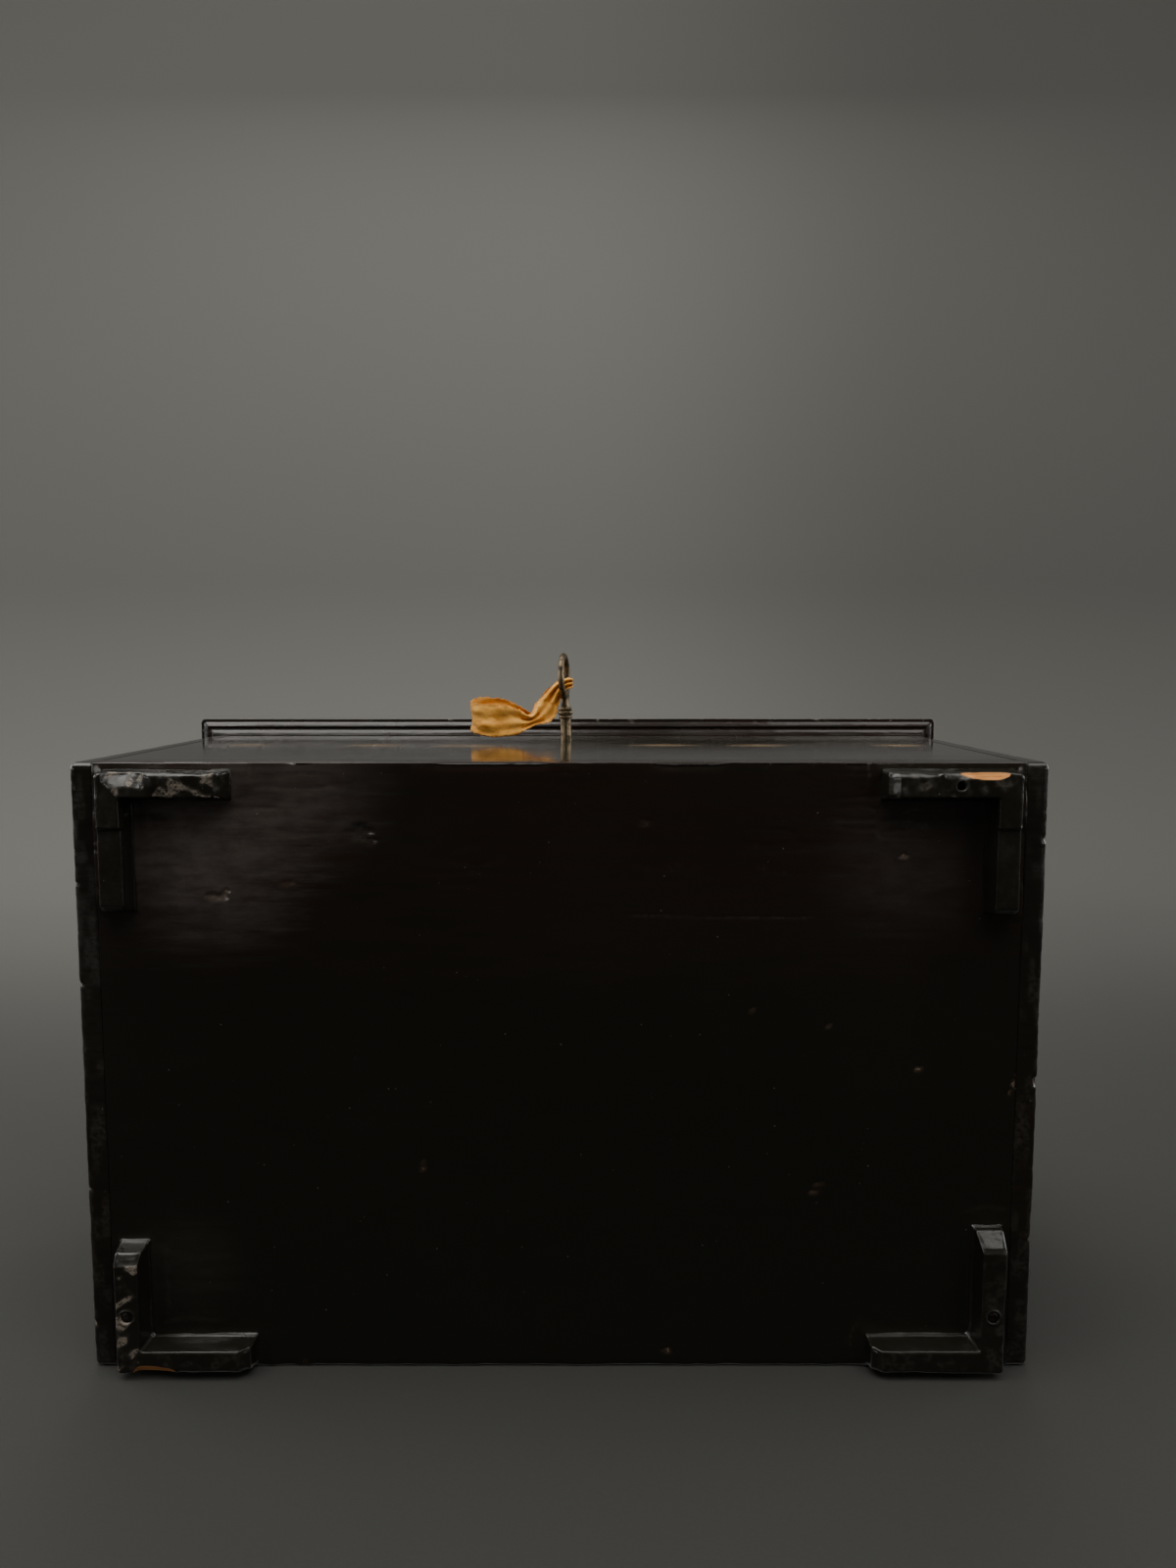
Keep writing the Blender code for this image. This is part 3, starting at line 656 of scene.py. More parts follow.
def frontWear(x):
    # how deep the lacquer is lost along the front lower edge: a ragged line with longer dips
    depth = 0.12 + layers(stacked(x, 0, 0), ((0.14, 0.013, 51), (0.06, 0.0045, 52)))
    for low, high, extra in underLook["losses"]:
        depth += extra * between(x, low, high, 4, 3)
    return np.maximum(depth, 0) * mm


def bottomBoard():
    # the underside is the fine part of this board; the rest of its outline is coarse
    low, high = nodeBox("bottom_board")
    outline, outward = roundedOutline(
        (low[1], low[2]),
        (high[1], high[2]),
        (underLook["frontRound"], 1.1 * mm, 0.3 * mm, 0.3 * mm),
        ((0.62 * mm, 1.25 * mm, 56 * mm), (1 * mm, 1 * mm, 1), (0.05, 0.05, 1), (0.8 * mm, 1 * mm, 1)),
    )
    reach = innerX - 0.02 * mm
    stations = stops(-reach, reach, 0.66 * mm, 1.5 * mm, 56 * mm)
    ends = np.linspace(0, 0.7, 6) * mm
    stations = np.unique(np.concatenate([stations, ends - reach, reach - ends]))
    points, normals = boardSurface(outline, outward, stations, 0.25 * mm)
    x, y, z = points[..., 0], points[..., 1], points[..., 2]
    height, worn, raw = underRelief(x, y)
    below = fade(-0.2, -0.9, normals[..., 2])
    frontEdge = fadeMm(3.2, 0.2, np.hypot(y - frontY, z - undersideZ))
    backEdge = fadeMm(2.6, 0.2, np.hypot(y - backY, z - undersideZ))
    ragged = noise(points, 0.0016, 61)
    loss = frontEdge * frontWear(x) * (1 + 0.15 * ragged)
    loss += backEdge * 0.25 * mm * (1 + noise(points, 0.004, 62))
    move = height * below - loss
    worn = np.maximum(worn * below, 0.25 * frontEdge * fade(0.3, 0.9, ragged + loss / mm))
    points = points + normals * move[..., None]
    solidPiece("bottom_board", points, "black_lacquer", undersideLacquer, worn=worn, raw=raw)


bottomBoard()
print("bottom board made")


def legPlace(c, t, end, look):
    # a leg of the L: c is across the leg from its outer side, t runs from the mitre (0) to the end (1);
    # near the corner the outer side is rounded and the inner side filled, both as quarter circles
    r = np.abs(look["cornerRound"] + (look["cornerFill"] + look["cornerRound"]) * -c / look["width"])
    start = c + mitreShift * r
    along = start + (end - start) * t
    s = along - c
    bend = np.where(s < r, r - np.sqrt(np.maximum(r ** 2 - (r - s) ** 2, 0)), 0)
    return along, c + bend


def footSection(look, top):
    # outline across a leg: down the outer side, round onto the sole, and up the inner side
    def side(z):
        lean = 1 - z / top
        pool = np.exp(-(top - z) / look["poolHeight"])
        outer = look["outerSlope"] * lean - look["poolFlare"] * pool
        inner = look["width"] - look["innerSlope"] * lean + look["poolFlare"] * pool
        return outer, inner
    r = look["edgeRound"]
    rise = stops(r, top, look["fine"], look["fine"], top)
    outer, inner = side(rise)
    turn = np.radians(np.linspace(0, 90, 6))[1:-1]
    left, right = side(np.array([r]))
    arcs = r * (1 - np.cos(turn)), r * (1 - np.sin(turn))
    sole = stops(left[0] + r, right[0] - r, look["fine"], look["fine"], r)
    lidding = np.linspace(inner[-1], outer[-1], 7)[1:-1]
    c = np.concatenate([outer[::-1], left[0] + arcs[0], sole, right[0] - arcs[0][::-1], inner, lidding])
    z = np.concatenate([rise[::-1], arcs[1], 0 * sole, arcs[1][::-1], rise, 0 * lidding + top])
    return c, z


def legEnd(z, length, look, cut):
    # where the end of the leg is at each height: leaning, with the chamfer of this leg
    high, deep, lean = np.multiply(cut, mm)
    chamfer = deep * np.clip((high - z) / high, 0, 1)
    pool = look["poolFlare"] * np.exp(-(look["top"] - z) / look["poolHeight"])
    return length - (look["endSlope"] + lean) * (1 - z / look["top"]) - chamfer + pool


def oneLeg(c, z, length, look, cut):
    # the stations of one leg from the mitre to the middle of its end face: along, across, up
    t = stops(0, 1, look["fine"] / length, look["fine"] / length, 0.5)
    rounding = look["endRound"]
    middle = np.array([np.mean([c.min(), c.max()]), look["top"] * 0.45])
    reach = legEnd(z, length, look, cut)
    near = (1 - t) * length
    s = np.clip(1 - near / rounding, 0, 1)
    inset = rounding * (1 - np.sqrt(np.maximum(1 - s ** 2, 0)))
    shrink = 1 - inset / (look["width"] / 2)
    cc = middle[0] + (c[None] - middle[0]) * shrink[:, None]
    drawnIn = middle[1] + (z[None] - middle[1]) * shrink[:, None]
    zz = np.where(z[None] < look["top"] * 0.8, drawnIn, z[None])
    along, across = legPlace(cc, t[:, None], np.broadcast_to(reach, cc.shape), look)
    rings = [stacked(along, across, zz)]
    last = stacked(cc[-1], zz[-1])
    for share in np.linspace(1, 0.06, look["endRings"])[1:]:
        inner = middle + (last - middle) * share
        flat = legEnd(inner[:, 1], length, look, cut)
        rings.append(stacked(flat, inner[:, 0], inner[:, 1])[None])
    return np.concatenate(rings)


def makeFoot(name, number):
    corner, inward, legX, legY, _ = footFrame(name)
    look = dict(footLook, top=undersideZ - 0.05 * mm)
    style = footStyles[name]
    c, z = footSection(look, look["top"])
    xLeg = oneLeg(c, z, legX, look, style["endX"])
    yLeg = oneLeg(c, z, legY, look, style["endY"])[..., [1, 0, 2]]
    points = np.concatenate([yLeg[:0:-1], xLeg])
    localX, localY, localZ = np.moveaxis(points.copy(), -1, 0)
    along, across = np.maximum(localX, localY), np.minimum(localX, localY)
    onX = localX > localY
    onLeg = {"x": onX, "y": ~onX}
    normals = gridNormals(points, False, True)
    normals = normals * -np.sign(np.mean(normals[len(yLeg) + 20, :8, 1]))
    spot = points + number * 0.37
    # hand work, quieter where the foot meets the board
    lumps = layers(spot, look["lumps"]) * mm
    for leg, start, end, size in style["rough"]:
        mask = onLeg[leg] * between(along, start, end, 1, 1.5)
        lumps += mask * size * mm * layers(spot, ((1, 0.0062, 73), (0.6, 0.0027, 74)))
    lumps *= fade(look["top"], look["top"] - 1.6 * mm, localZ)
    points = points + normals * lumps[..., None]
    out, height = points[..., 1], points[..., 2]     # changed in place below
    low = fadeMm(4.5, 1.0, localZ)
    for leg, start, depth, lean in style.get("facets", ()):
        mask = onLeg[leg] * fadeMm(start - 0.4, start + 0.4, along)
        height += mask * low * (depth * mm + lean * (across - 4 * mm))
    near, far = style["lean"]
    inset = (near + (far - near) * fadeMm(14, 19, along)) * mm
    inset = inset * (1 - localZ / look["top"]) * onX * fadeMm(1, 5, along)
    out += inset * np.clip(1 - across / (6 * mm), 0, 1)
    for leg, start, end, wide, drop, level in style["bevels"]:
        # a slope with ends that run out and a hand-cut edge
        mask = onLeg[leg] * fadeMm(start - 1, start + 0.6, along)
        mask = mask * fadeMm(end + 1.2, end - 1.2, along)
        ragged = across + 0.35 * mm * noise(spot, 0.0035, 79)
        slope = np.clip((wide * mm - ragged) / ((wide - level) * mm), 0, 1.0 if level else 1.2)
        height += mask * low * drop * mm * slope
    # soles made paler by each leg's share, marked worn: rubbing and painted sheen
    rubbed = fade(-0.3, 0.6, layers(spot, ((1, 0.0022, 75), (0.5, 0.007, 81))))
    worn = np.where(onX, *style["rubbed"]) * fadeMm(1.4, 0.2, localZ) * rubbed
    raw = np.zeros_like(worn)
    for start, end, outFrom, upFrom, slant in style.get("chips", ()):
        # a slanting cut along the outer edge, with splintered wood in it
        ragged = 0.5 * mm * noise(spot * np.array([0.4, 1, 1]), 0.0011, 76)
        share = np.clip((localX + ragged - start * mm) / ((end - start) * mm), 0, 1)
        lens = np.sin(np.pi * share ** 0.6) ** 0.38
        sin, cos = np.sin(np.radians(slant)), np.cos(np.radians(slant))
        gap = sin * (localY - outFrom * mm) + cos * (localZ - upFrom * mm)
        cut = np.maximum(-gap - (1 - lens) * 1.6 * mm, 0) * (share > 0) * (share < 1)
        fibres = 0.10 * mm * noise(spot * np.array([0.15, 1, 1]), 0.0006, 77)
        depth = cut + (cut > 0.1 * mm) * fibres
        out += sin * depth
        height += cos * depth
        raw = np.maximum(raw, fadeMm(0.05, 0.3, cut))
    for leg, size, depth, rim in style.get("nails", ()):
        far = np.hypot(along - look["nailFromCorner"], across - nailMiddle)
        far += 0.12 * mm * noise(spot, 0.0015, 78)
        sole = onLeg[leg] * (localZ < 0.6 * mm)
        height += sole * depth * mm * fadeMm(size + 0.35, size - 0.15, far)
        ring = sole * np.exp(-((far - size * mm - 0.55 * mm) / (0.4 * mm)) ** 2)
        height -= rim * mm * ring
        # the ring is marked worn so that it shows pale: painted highlight
        worn = np.maximum(worn, 0.7 * ring * (rim > 0))
    height -= (height < look["top"] * 0.8) * min(height.min(), 0)
    world = np.concatenate([corner + inward * points[..., :2], height[..., None]], axis=-1)
    solidPiece("foot_" + name, world, "foot_lacquer", footLacquer, worn=worn, raw=raw)


nailLook = {
    **metres(shank=0.7, sunk=1.3, hammered=0.05),
    "bare": ("foot_nail_back_left_y", "foot_nail_back_right_y"),     # the others are sunk under the lacquer
    # outline of the head: share of its radius, height (mm)
    "head": ((0.02, 0.02), (0.45, 0.0), (0.8, 0.06), (0.96, 0.2), (1.0, 0.4), (0.97, 0.62), (0.85, 0.8)),
}


def makeNail(name):
    # head with a hammered dome, and its shank up into the board: a turned outline, by height
    look = nailLook
    low, high = nodeBox(name)
    middle = (low + high)[:2] / 2
    shank = look["shank"]
    bottom = low[2] + (0 if name in look["bare"] else look["sunk"])
    radius = [(high - low)[0] / 2 * share for share, _ in look["head"]] + [shank, shank, 0.3 * shank]
    height = [bottom + up * mm for _, up in look["head"]] + [bottom + 0.85 * mm, high[2] - 3 * mm, high[2]]
    turn = np.radians(np.arange(0, 360, 9))
    radius, height = np.array(radius)[:, None], np.array(height)[:, None]
    points = stacked(middle[0] + radius * np.cos(turn), middle[1] + radius * np.sin(turn), height)
    points[..., 2] += look["hammered"] * noise(points, 0.0009, 80) * (height < bottom + 0.5 * mm)
    solidPiece(name, points, "nail_iron", nailIron)


for number, name in enumerate(footNames):
    makeFoot(name, number)
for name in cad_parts:
    if name.startswith("foot_nail"):
        makeNail(name)
print("feet made")


# Side boards: seen from below, their lower edge is a rough band with ticks across it

sideLook = {
    **metres(outerRound=1.5, innerRound=0.35, endRound=2.2, band=0.07, tick=0.07),
    # broad unevenness of the outer side: size (mm), cell (m), seed
    "waves": ((0.035, (0.01, 0.030, 0.012), 132), (0.012, (0.004, 0.012, 0.003), 133)),
    # nicks along the lower outer edge: left or right board, y from the middle, length, depth (mm)
    "nicks": ((1, 3, 3.2, 0.9), (-1, -28, 1.6, 0.35), (-1, -60, 1.2, 0.3), (1, -74, 2.0, 0.4),
              (-1, 38, 1.4, 0.3), (1, 55, 1.8, 0.35), (-1, 83, 2.4, 0.4)),
}


def makeSideBoard(side, name):
    look = sideLook
    low, high = nodeBox(name)
    bottom = (look["outerRound"], look["innerRound"])[::-side]
    top = (0.5 * mm, 0.5 * mm)
    outer, inner = (0.4 * mm, 1.6 * mm, 14 * mm), (2.5 * mm, 5 * mm, 6 * mm)
    sides = (outer, inner)[::side]
    outline, outward = roundedOutline(
        (low[0], low[2]),
        (high[0], high[2]),
        bottom + top,
        ((0.4 * mm, 0.4 * mm, 1), sides[0], (0.8 * mm, 0.8 * mm, 1), sides[1]),
    )
    stations = stops(low[1], high[1], 0.6 * mm, 0.7 * mm, 20 * mm)
    ends = (1 - np.cos(np.radians(np.linspace(0, 90, 14)))) * look["endRound"]
    stations = np.unique(np.concatenate([stations, low[1] + ends, high[1] - ends]))
    kept = (outward[:, 0] * side < -0.5) | (outward[:, 1] > 0.5)     # the joint and the rim stay square
    rounded = outward * np.where(kept, 0.1, 1.0)[:, None]
    points, normals = boardSurface(outline, rounded, stations, look["endRound"])
    points, normals = points[..., [1, 0, 2]], normals[..., [1, 0, 2]]
    x, y, z = points[..., 0], points[..., 1], points[..., 2]
    below = fade(undersideZ + 3 * mm, undersideZ + 0.2 * mm, z)
    spot = points + side * 0.23
    move = look["band"] * below * noise(spot, np.array([0.004, 0.0024, 0.004]), 130)
    ticks = noise(spot, np.array([0.012, 0.0009, 0.012]), 131)
    move -= look["tick"] * below * fade(0.35, 0.75, ticks)
    move += layers(spot, look["waves"]) * mm * fade(undersideZ + 1 * mm, undersideZ + 6 * mm, z)
    edgeX = leftX if side < 0 else rightX
    lowerEdge = fadeMm(2.6, 0.4, np.hypot(x - edgeX, z - undersideZ))
    loss = lowerEdge * 0.16 * mm * np.maximum(noise(spot, 0.0062, 134) + 0.3, 0)
    worn = lowerEdge * fade(0.25, 0.7, noise(spot, 0.0018, 135)) * 0.7
    rubbed = fade(-0.3, 0.6, noise(spot, np.array([0.0024, 0.0075, 0.004]), 138))
    worn = np.maximum(worn, 0.55 * fade(undersideZ + 1.2 * mm, undersideZ + 0.3 * mm, z) * rubbed)
    raw = np.zeros_like(x)
    for nickSide, where, length, depth in look["nicks"]:
        if nickSide != side:
            continue
        far = np.abs(y - middleY - where * mm) / (length / 2 * mm) + 0.3 * noise(spot, 0.0012, 136)
        dip = fade(1.1, 0.5, far) * lowerEdge
        loss = loss + dip * depth * mm
        worn = np.maximum(worn, dip)
        if depth > 0.8:
            raw = np.maximum(raw, 0.1 * dip * fade(-0.1, 0.4, noise(spot, 0.0009, 137)))
    points = points + normals * (move - loss)[..., None]
    solidPiece(name, points, "black_lacquer", blackLacquer, worn=worn, raw=raw)


for side, name in ((-1, "left_board"), (1, "right_board")):
    makeSideBoard(side, name)
print("side boards made")


# Mouldings: the outline of the lid's moulding carried along each side, rounded at the corners

mouldingLook = {
    # root is a flat strip against the box; slopes go out and up; the groove is wide and deep, and its outer
    # edge stands a step lower than its inner one
    **metres(root=0.4, innerSlope=(1.85, 1.25), groove=(1.30, 0.45), grooveStep=0.20, outerSlope=(2.1, 1.45)),
    **metres(lipHalf=2.7, quirk=0.7, widest=4.6, hollowRoot=4.8, cornerRound=1.6, fine=0.28, station=1.3),
    "seam": 0.06 * mm,
    # unevenness: size (mm), cell (m), seed
    "waves": ((0.05, (0.030, 0.004, 0.004), 90), (0.025, (0.006, 0.0022, 0.0022), 91), (0.012, 0.0011, 92)),
}


def arcPoints(centre, radii, start, stop, fine):
    # part of an ellipse, with the angles in degrees
    count = max(4, int(abs(np.radians(stop - start)) * max(radii) / fine))
    angle = np.radians(np.linspace(start, stop, count))
    return stacked(centre[0] + radii[0] * np.cos(angle), centre[1] + radii[1] * np.sin(angle))


def slopePoints(begin, size):
    # a slightly bulging slope from begin, out and up by size
    t = np.linspace(0, 1, 11)
    return stacked(begin[0] + size[0] * t, begin[1] + size[1] * (0.75 * t + 0.25 * t ** 2))


def mouldingOutline(seat, overhang, height):
    # out along the underside over two slopes with a groove between them, across a flat fillet, up the
    # lip, and back over a hollow: distance out from the face of the box, and height
    look = mouldingLook
    fine, grooveWide, grooveDeep = look["fine"], *look["groove"]
    inner = slopePoints((look["root"], 0.1 * mm), look["innerSlope"])
    grooveEnd = inner[-1] + (grooveWide, -look["grooveStep"])
    dip = np.radians(np.linspace(0, 180, 9))[1:-1]
    middle = (inner[-1] + grooveEnd) / 2
    groove = stacked(middle[0] - grooveWide / 2 * np.cos(dip), middle[1] + grooveDeep * np.sin(dip))
    outer = slopePoints(grooveEnd, look["outerSlope"])
    edge, rise = outer[-1]
    out = np.linspace(edge + 0.1 * mm, overhang - 0.3 * mm, 4)
    lipTop = look["widest"] + look["lipHalf"]
    hollowX, hollowZ = look["hollowRoot"], lipTop + look["quirk"]
    hollow = height - hollowZ
    flat = np.linspace(-seat, look["root"] - 0.1 * mm, 8)[1:]
    parts = [
        stacked(flat, 0),
        inner,
        groove,
        outer,
        stacked(out, rise),
        arcPoints((overhang - 0.3 * mm, rise + 0.3 * mm), (0.3 * mm, 0.3 * mm), -90, 0, 0.1 * mm)[1:],
        stacked(overhang, np.linspace(rise + 0.3 * mm, look["widest"], 5)[1:]),
        arcPoints((hollowX, look["widest"]), (overhang - hollowX, look["lipHalf"]), 0, 90, fine)[1:],
        arcPoints((hollowX, height), (hollow, hollow), 270, 180, fine),
        stacked(np.linspace(hollowX - hollow, -seat, 8)[1:], height),
        stacked(-seat, np.linspace(height, 0, 6)[1:]),
    ]
    return np.concatenate(parts)


def makeMoulding(side, quarter):
    look = mouldingLook
    low, high = nodeBox("lid_moulding_" + side)
    overhang = frontY - nodeBox("lid_moulding_front")[0][1]
    seat = (high - low)[1 - quarter % 2] - overhang
    outline = mouldingOutline(seat, overhang, high[2] - low[2])
    out, up = outline[:, 0], outline[:, 1]
    halfLength, halfAcross = ((rightX, backY - middleY), (backY - middleY, rightX))[quarter % 2]
    radius = look["cornerRound"] * np.clip(out / overhang, 0, 1)
    share = stops(-1, 1, 0.2 * mm / halfLength, look["station"] / halfLength, 4 * mm / halfLength)
    reach = halfLength + out - mitreShift * radius - look["seam"] / 2
    along = share[:, None] * reach[None]
    s = halfLength + out[None] - np.abs(along)
    bend = np.where(s < radius, radius - np.sqrt(np.maximum(radius ** 2 - (radius - s) ** 2, 0)), 0)
    across = -(halfAcross + out[None] - bend)
    points = stacked(along, across, low[2] + up)
    normals = gridNormals(points, False, True)
    spot = points + quarter * 0.71
    wave = layers(spot, look["waves"]) * mm * fade(0, 0.4 * mm, out)
    points = points - normals * np.sign(normals[len(share) // 2, 10, 2]) * wave[..., None]
    worn = fade(0.6, 0.95, out / overhang) * fade(0.45, 0.8, noise(spot, 0.0016, 93))
    turn = quarter * np.pi / 2
    x, y, z = np.moveaxis(points, -1, 0)
    points = stacked(np.cos(turn) * x - np.sin(turn) * y, np.sin(turn) * x + np.cos(turn) * y + middleY, z)
    solidPiece("lid_moulding_" + side, points, "brown_lacquer", brownLacquer, worn=worn)


# Key: turned barrel with three collars and a bit, and a ring bow, turned and leaning in the lock

keyLook = {
    **metres(radius=2.15, neck=1.8, inserted=9.0, reach=34.6, bow=(20.0, 18.4), wire=1.3),
    **metres(bit=(1.2, 3.5, 5.5), bitEnd=0.5),
    "turn": 7.0,
    "lean": 1.7,
    # each collar: distance out from the lock, width, radius (mm)
    "collars": ((8.6, 1.2, 2.70), (10.0, 1.7, 3.00), (11.8, 1.2, 2.65)),
}


def keySpace(points):
    # from the key's own frame, with its axis along -Y, to where it stands in the lock
    a, b = np.radians(-keyLook["lean"]), np.radians(keyLook["turn"])
    aboutZ = np.array([[np.cos(a), -np.sin(a), 0], [np.sin(a), np.cos(a), 0], [0, 0, 1]])
    aboutY = np.array([[np.cos(b), 0, np.sin(b)], [0, 1, 0], [-np.sin(b), 0, np.cos(b)]])
    return points @ (aboutZ @ aboutY).T + keyFoot


def keyOutline():
    # distance out and radius, from the end of the barrel to the root of the bow
    look = keyLook
    r, neck = look["radius"], look["neck"]
    rows = [[-look["inserted"], r - 0.5 * mm], [-look["inserted"] + 0.15 * mm, r - 0.15 * mm]]
    rows += [[d, r] for d in np.linspace(-look["inserted"] + 0.5 * mm, 8.5 * mm, 40)]
    for start, width, radius in look["collars"]:
        low = r if start == look["collars"][0][0] else neck
        rows.append([start * mm - 0.04 * mm, low + 0.02 * mm])
        half = width * mm / 2
        for angle in np.linspace(np.pi, 0, 11):
            bulge = np.sin(angle) ** 0.8
            rows.append([start * mm + half + half * np.cos(angle), radius * mm - half + half * bulge])
    rows += [[d * mm, neck - 0.2 * mm * np.sin((d - 13) / 5 * np.pi)] for d in np.linspace(13.1, 17.8, 14)]
    return np.array(rows)


def makeKey():
    look = keyLook
    outline = keyOutline()
    turn = np.radians(np.arange(0, 360, 6))
    out, radius = outline.T[..., None]
    shaft = stacked(radius * np.cos(turn), -out, radius * np.sin(turn))
    u = np.radians(np.arange(0, 360, 2.5))[:, None]
    v = np.radians(np.arange(0, 360, 12))[None]
    breadth, height = look["bow"][0] / 2 - look["wire"], look["bow"][1] / 2 - look["wire"]
    along, side = -height * np.cos(u), breadth * np.sin(u)
    outY, outZ = -breadth * np.cos(u), height * np.sin(u)
    size = np.hypot(outY, outZ)
    wire = look["wire"] * (1 + 0.16 * np.exp(-(np.degrees(np.abs(u - np.pi)) / 32) ** 2))
    flat = wire * np.cos(v)
    bow = stacked(
        wire * 0.92 * np.sin(v),
        -(look["reach"] - look["bow"][1] / 2) + along + outY / size * flat,
        side + outZ / size * flat,
    )
    bit = look["bit"]
    nearEnd = look["inserted"] - look["bitEnd"]
    low, high = (-bit[0] / 2, nearEnd - bit[1]), (bit[0] / 2, nearEnd)
    section = roundedOutline(low, high, (0.15 * mm,) * 4, ((0.4 * mm, 0.4 * mm, 1),) * 4)[0]
    levels = np.array([-bit[2], -bit[2] + 0.12 * mm, -bit[2] * 0.5, -look["radius"] * 0.6])
    shrink = np.array([0.86, 1, 1, 1])
    middle = section.mean(axis=0)
    drawnIn = middle + (section[None] - middle) * shrink[:, None, None]
    plate = stacked(drawnIn[..., 0], drawnIn[..., 1], levels[:, None])
    shells = ((shaft, False, (0, -1)), (bow, True, ()), (plate, False, (0, -1)))
    pieces = []
    for k, (points, closed, caps) in enumerate(shells):
        pitted = 0.02 * mm * noise(points, 0.0011, 95 + k)[..., None]
        points = points + pitted * gridNormals(points, closed, True)
        worn = fade(0.1, 0.7, noise(points, 0.0025, 98))
        pieces.append(gridPiece("Key", keySpace(points), closedU=closed, caps=caps, marks={"worn": worn}))
    key = joined(pieces, "brassKey")
    place(key, "key", agedBrass)


def joined(pieces, name):
    # several shells become one piece
    with bpy.context.temp_override(active_object=pieces[0], selected_editable_objects=pieces):
        bpy.ops.object.join()
    pieces[0].name = name
    return pieces[0]


# Ribbon: a silk band along its course, gathered in pleats where it is narrow

ribbonLook = {
    "width": 14.4,
    "thickness": 0.26,
    "pleats": 2.5,
    "columns": 40,
    "step": 0.35,
    # size and cell (mm), seed
    "crinkles": ((0.55, (6.0, 3.6, 1), 111), (0.22, (2.4, 1.9, 1), 112), (0.05, (0.9, 0.8, 1), 113)),
    # across, out, up, half width (mm from the foot of the key), turn of the width in degrees
    "course": (
        (2.5, 22.7, -1.6, 1.8, 24), (1.5, 22.7, -1.8, 2.1, 18), (0.0, 22.4, -2.0, 2.1, 10),
        (-3.2, 20.6, -2.4, 2.4, 25), (-5.8, 16.6, -3.4, 3.6, 45), (-8.8, 11.2, -5.0, 4.6, 44),
        (-13.4, 8.2, -7.4, 2.3, 14), (-19.0, 7.9, -11.8, 5.0, -6), (-26.0, 8.2, -14.8, 6.1, -4),
        (-32.6, 8.9, -14.9, 5.9, 0), (-36.2, 10.2, -11.2, 5.7, 2), (-32.8, 11.4, -7.4, 5.7, 0),
        (-26.0, 11.0, -5.6, 5.7, -5), (-19.0, 9.5, -5.0, 4.4, -8), (-14.3, 8.5, -5.2, 2.3, 0),
    ),
}


def smoothCourse(rows, steps):
    # a smooth curve through the rows (Catmull-Rom)
    rows = np.array(rows, float)
    padded = np.concatenate([rows[:1] * 2 - rows[1:2], rows, rows[-1:] * 2 - rows[-2:-1]])
    t = np.arange(steps)[:, None] / steps
    spans = []
    for i in range(len(rows) - 1):
        a, b, c, d = padded[i:i + 4]
        bent, twisted = 2 * a - 5 * b + 4 * c - d, 3 * b - a - 3 * c + d
        spans.append(0.5 * (2 * b + (c - a) * t + bent * t ** 2 + twisted * t ** 3))
    return np.concatenate(spans + [rows[-1:]])


def evenly(rows, step):
    # the same curve with its rows a step apart
    length = np.concatenate([[0], np.cumsum(np.linalg.norm(np.diff(rows[:, :3], axis=0), axis=1))])
    places = np.linspace(0, length[-1], int(length[-1] / step))
    return stacked(*(np.interp(places, length, column) for column in rows.T)), places


def ribbonBand(look, seed):
    # the middle of the cloth, gathered in waves where it is narrower than its width, in millimetres
    rows, along = evenly(smoothCourse(look["course"], 24), look["step"])
    centre = rows[:, :3] * np.array([1, -1, 1])
    half, turn = rows[:, 3], np.radians(rows[:, 4])
    width = stacked(-np.sin(turn), -np.cos(turn), 0)
    ahead = np.gradient(centre, axis=0)
    ahead /= np.linalg.norm(ahead, axis=1, keepdims=True)
    width -= ahead * np.sum(width * ahead, axis=1, keepdims=True)
    width /= np.linalg.norm(width, axis=1, keepdims=True)
    upward = np.cross(ahead, width)
    v = np.linspace(-1, 1, look["columns"])
    ratio = look["width"] / 2 / half
    waves = look["pleats"]
    amplitude = np.sqrt(np.maximum(2 * (np.maximum(ratio, 1) ** 2 - 1), 0)) * 2 * half / (2 * np.pi * waves)
    amplitude = np.minimum(amplitude, half * 0.55) * np.where(half > 4, 0.45, 1.0)
    drift = 0.5 * noise(stacked(along / 9, 0, 0), 1, seed)
    phase = v[None] * np.pi * waves + drift[:, None] * 2
    cloth = stacked(along[:, None], v * look["width"] / 2, 0)
    calm = 1 - 0.85 * np.exp(-((along - along[rows[:, 0].argmin()]) / 6.0) ** 2)     # smooth over its fold
    ripple = (amplitude * calm)[:, None] * np.sin(phase) + layers(cloth, look["crinkles"])
    fray = fade(0.86, 1.0, np.abs(v)) * np.sign(v) * 0.40 * noise(cloth, np.array([0.5, 6, 1]), seed + 4)
    spread = v[None] * half[:, None] + fray
    sheet = centre[:, None] + width[:, None] * spread[..., None] + upward[:, None] * ripple[..., None]
    return sheet, along, v


def clothPiece(name, sheet, along, v, look):
    # front and back of the cloth, half its thickness from the middle, joined round the edges
    normals = gridNormals(sheet, False, False)
    thin = (1 - 0.7 * fade(0.9, 1.0, np.abs(v)))[None, :, None] * look["thickness"] / 2
    shell = np.concatenate([sheet + normals * thin, (sheet - normals * thin)[:, ::-1]], axis=1)
    lengthwise = np.repeat(along[:, None], shell.shape[1], axis=1)
    across = np.concatenate([v, v[::-1]])[None] * look["width"] / 2 + 0 * lengthwise
    marks = {"along": lengthwise, "across": across}
    return gridPiece(name, shell * mm + keyFoot, caps=(0, -1), marks=marks)


def makeRibbon():
    look = ribbonLook
    sheet, along, v = ribbonBand(look, 110)
    piece = clothPiece("silkRibbon", sheet, along, v, look)
    place(piece, "ribbon", goldSilk)


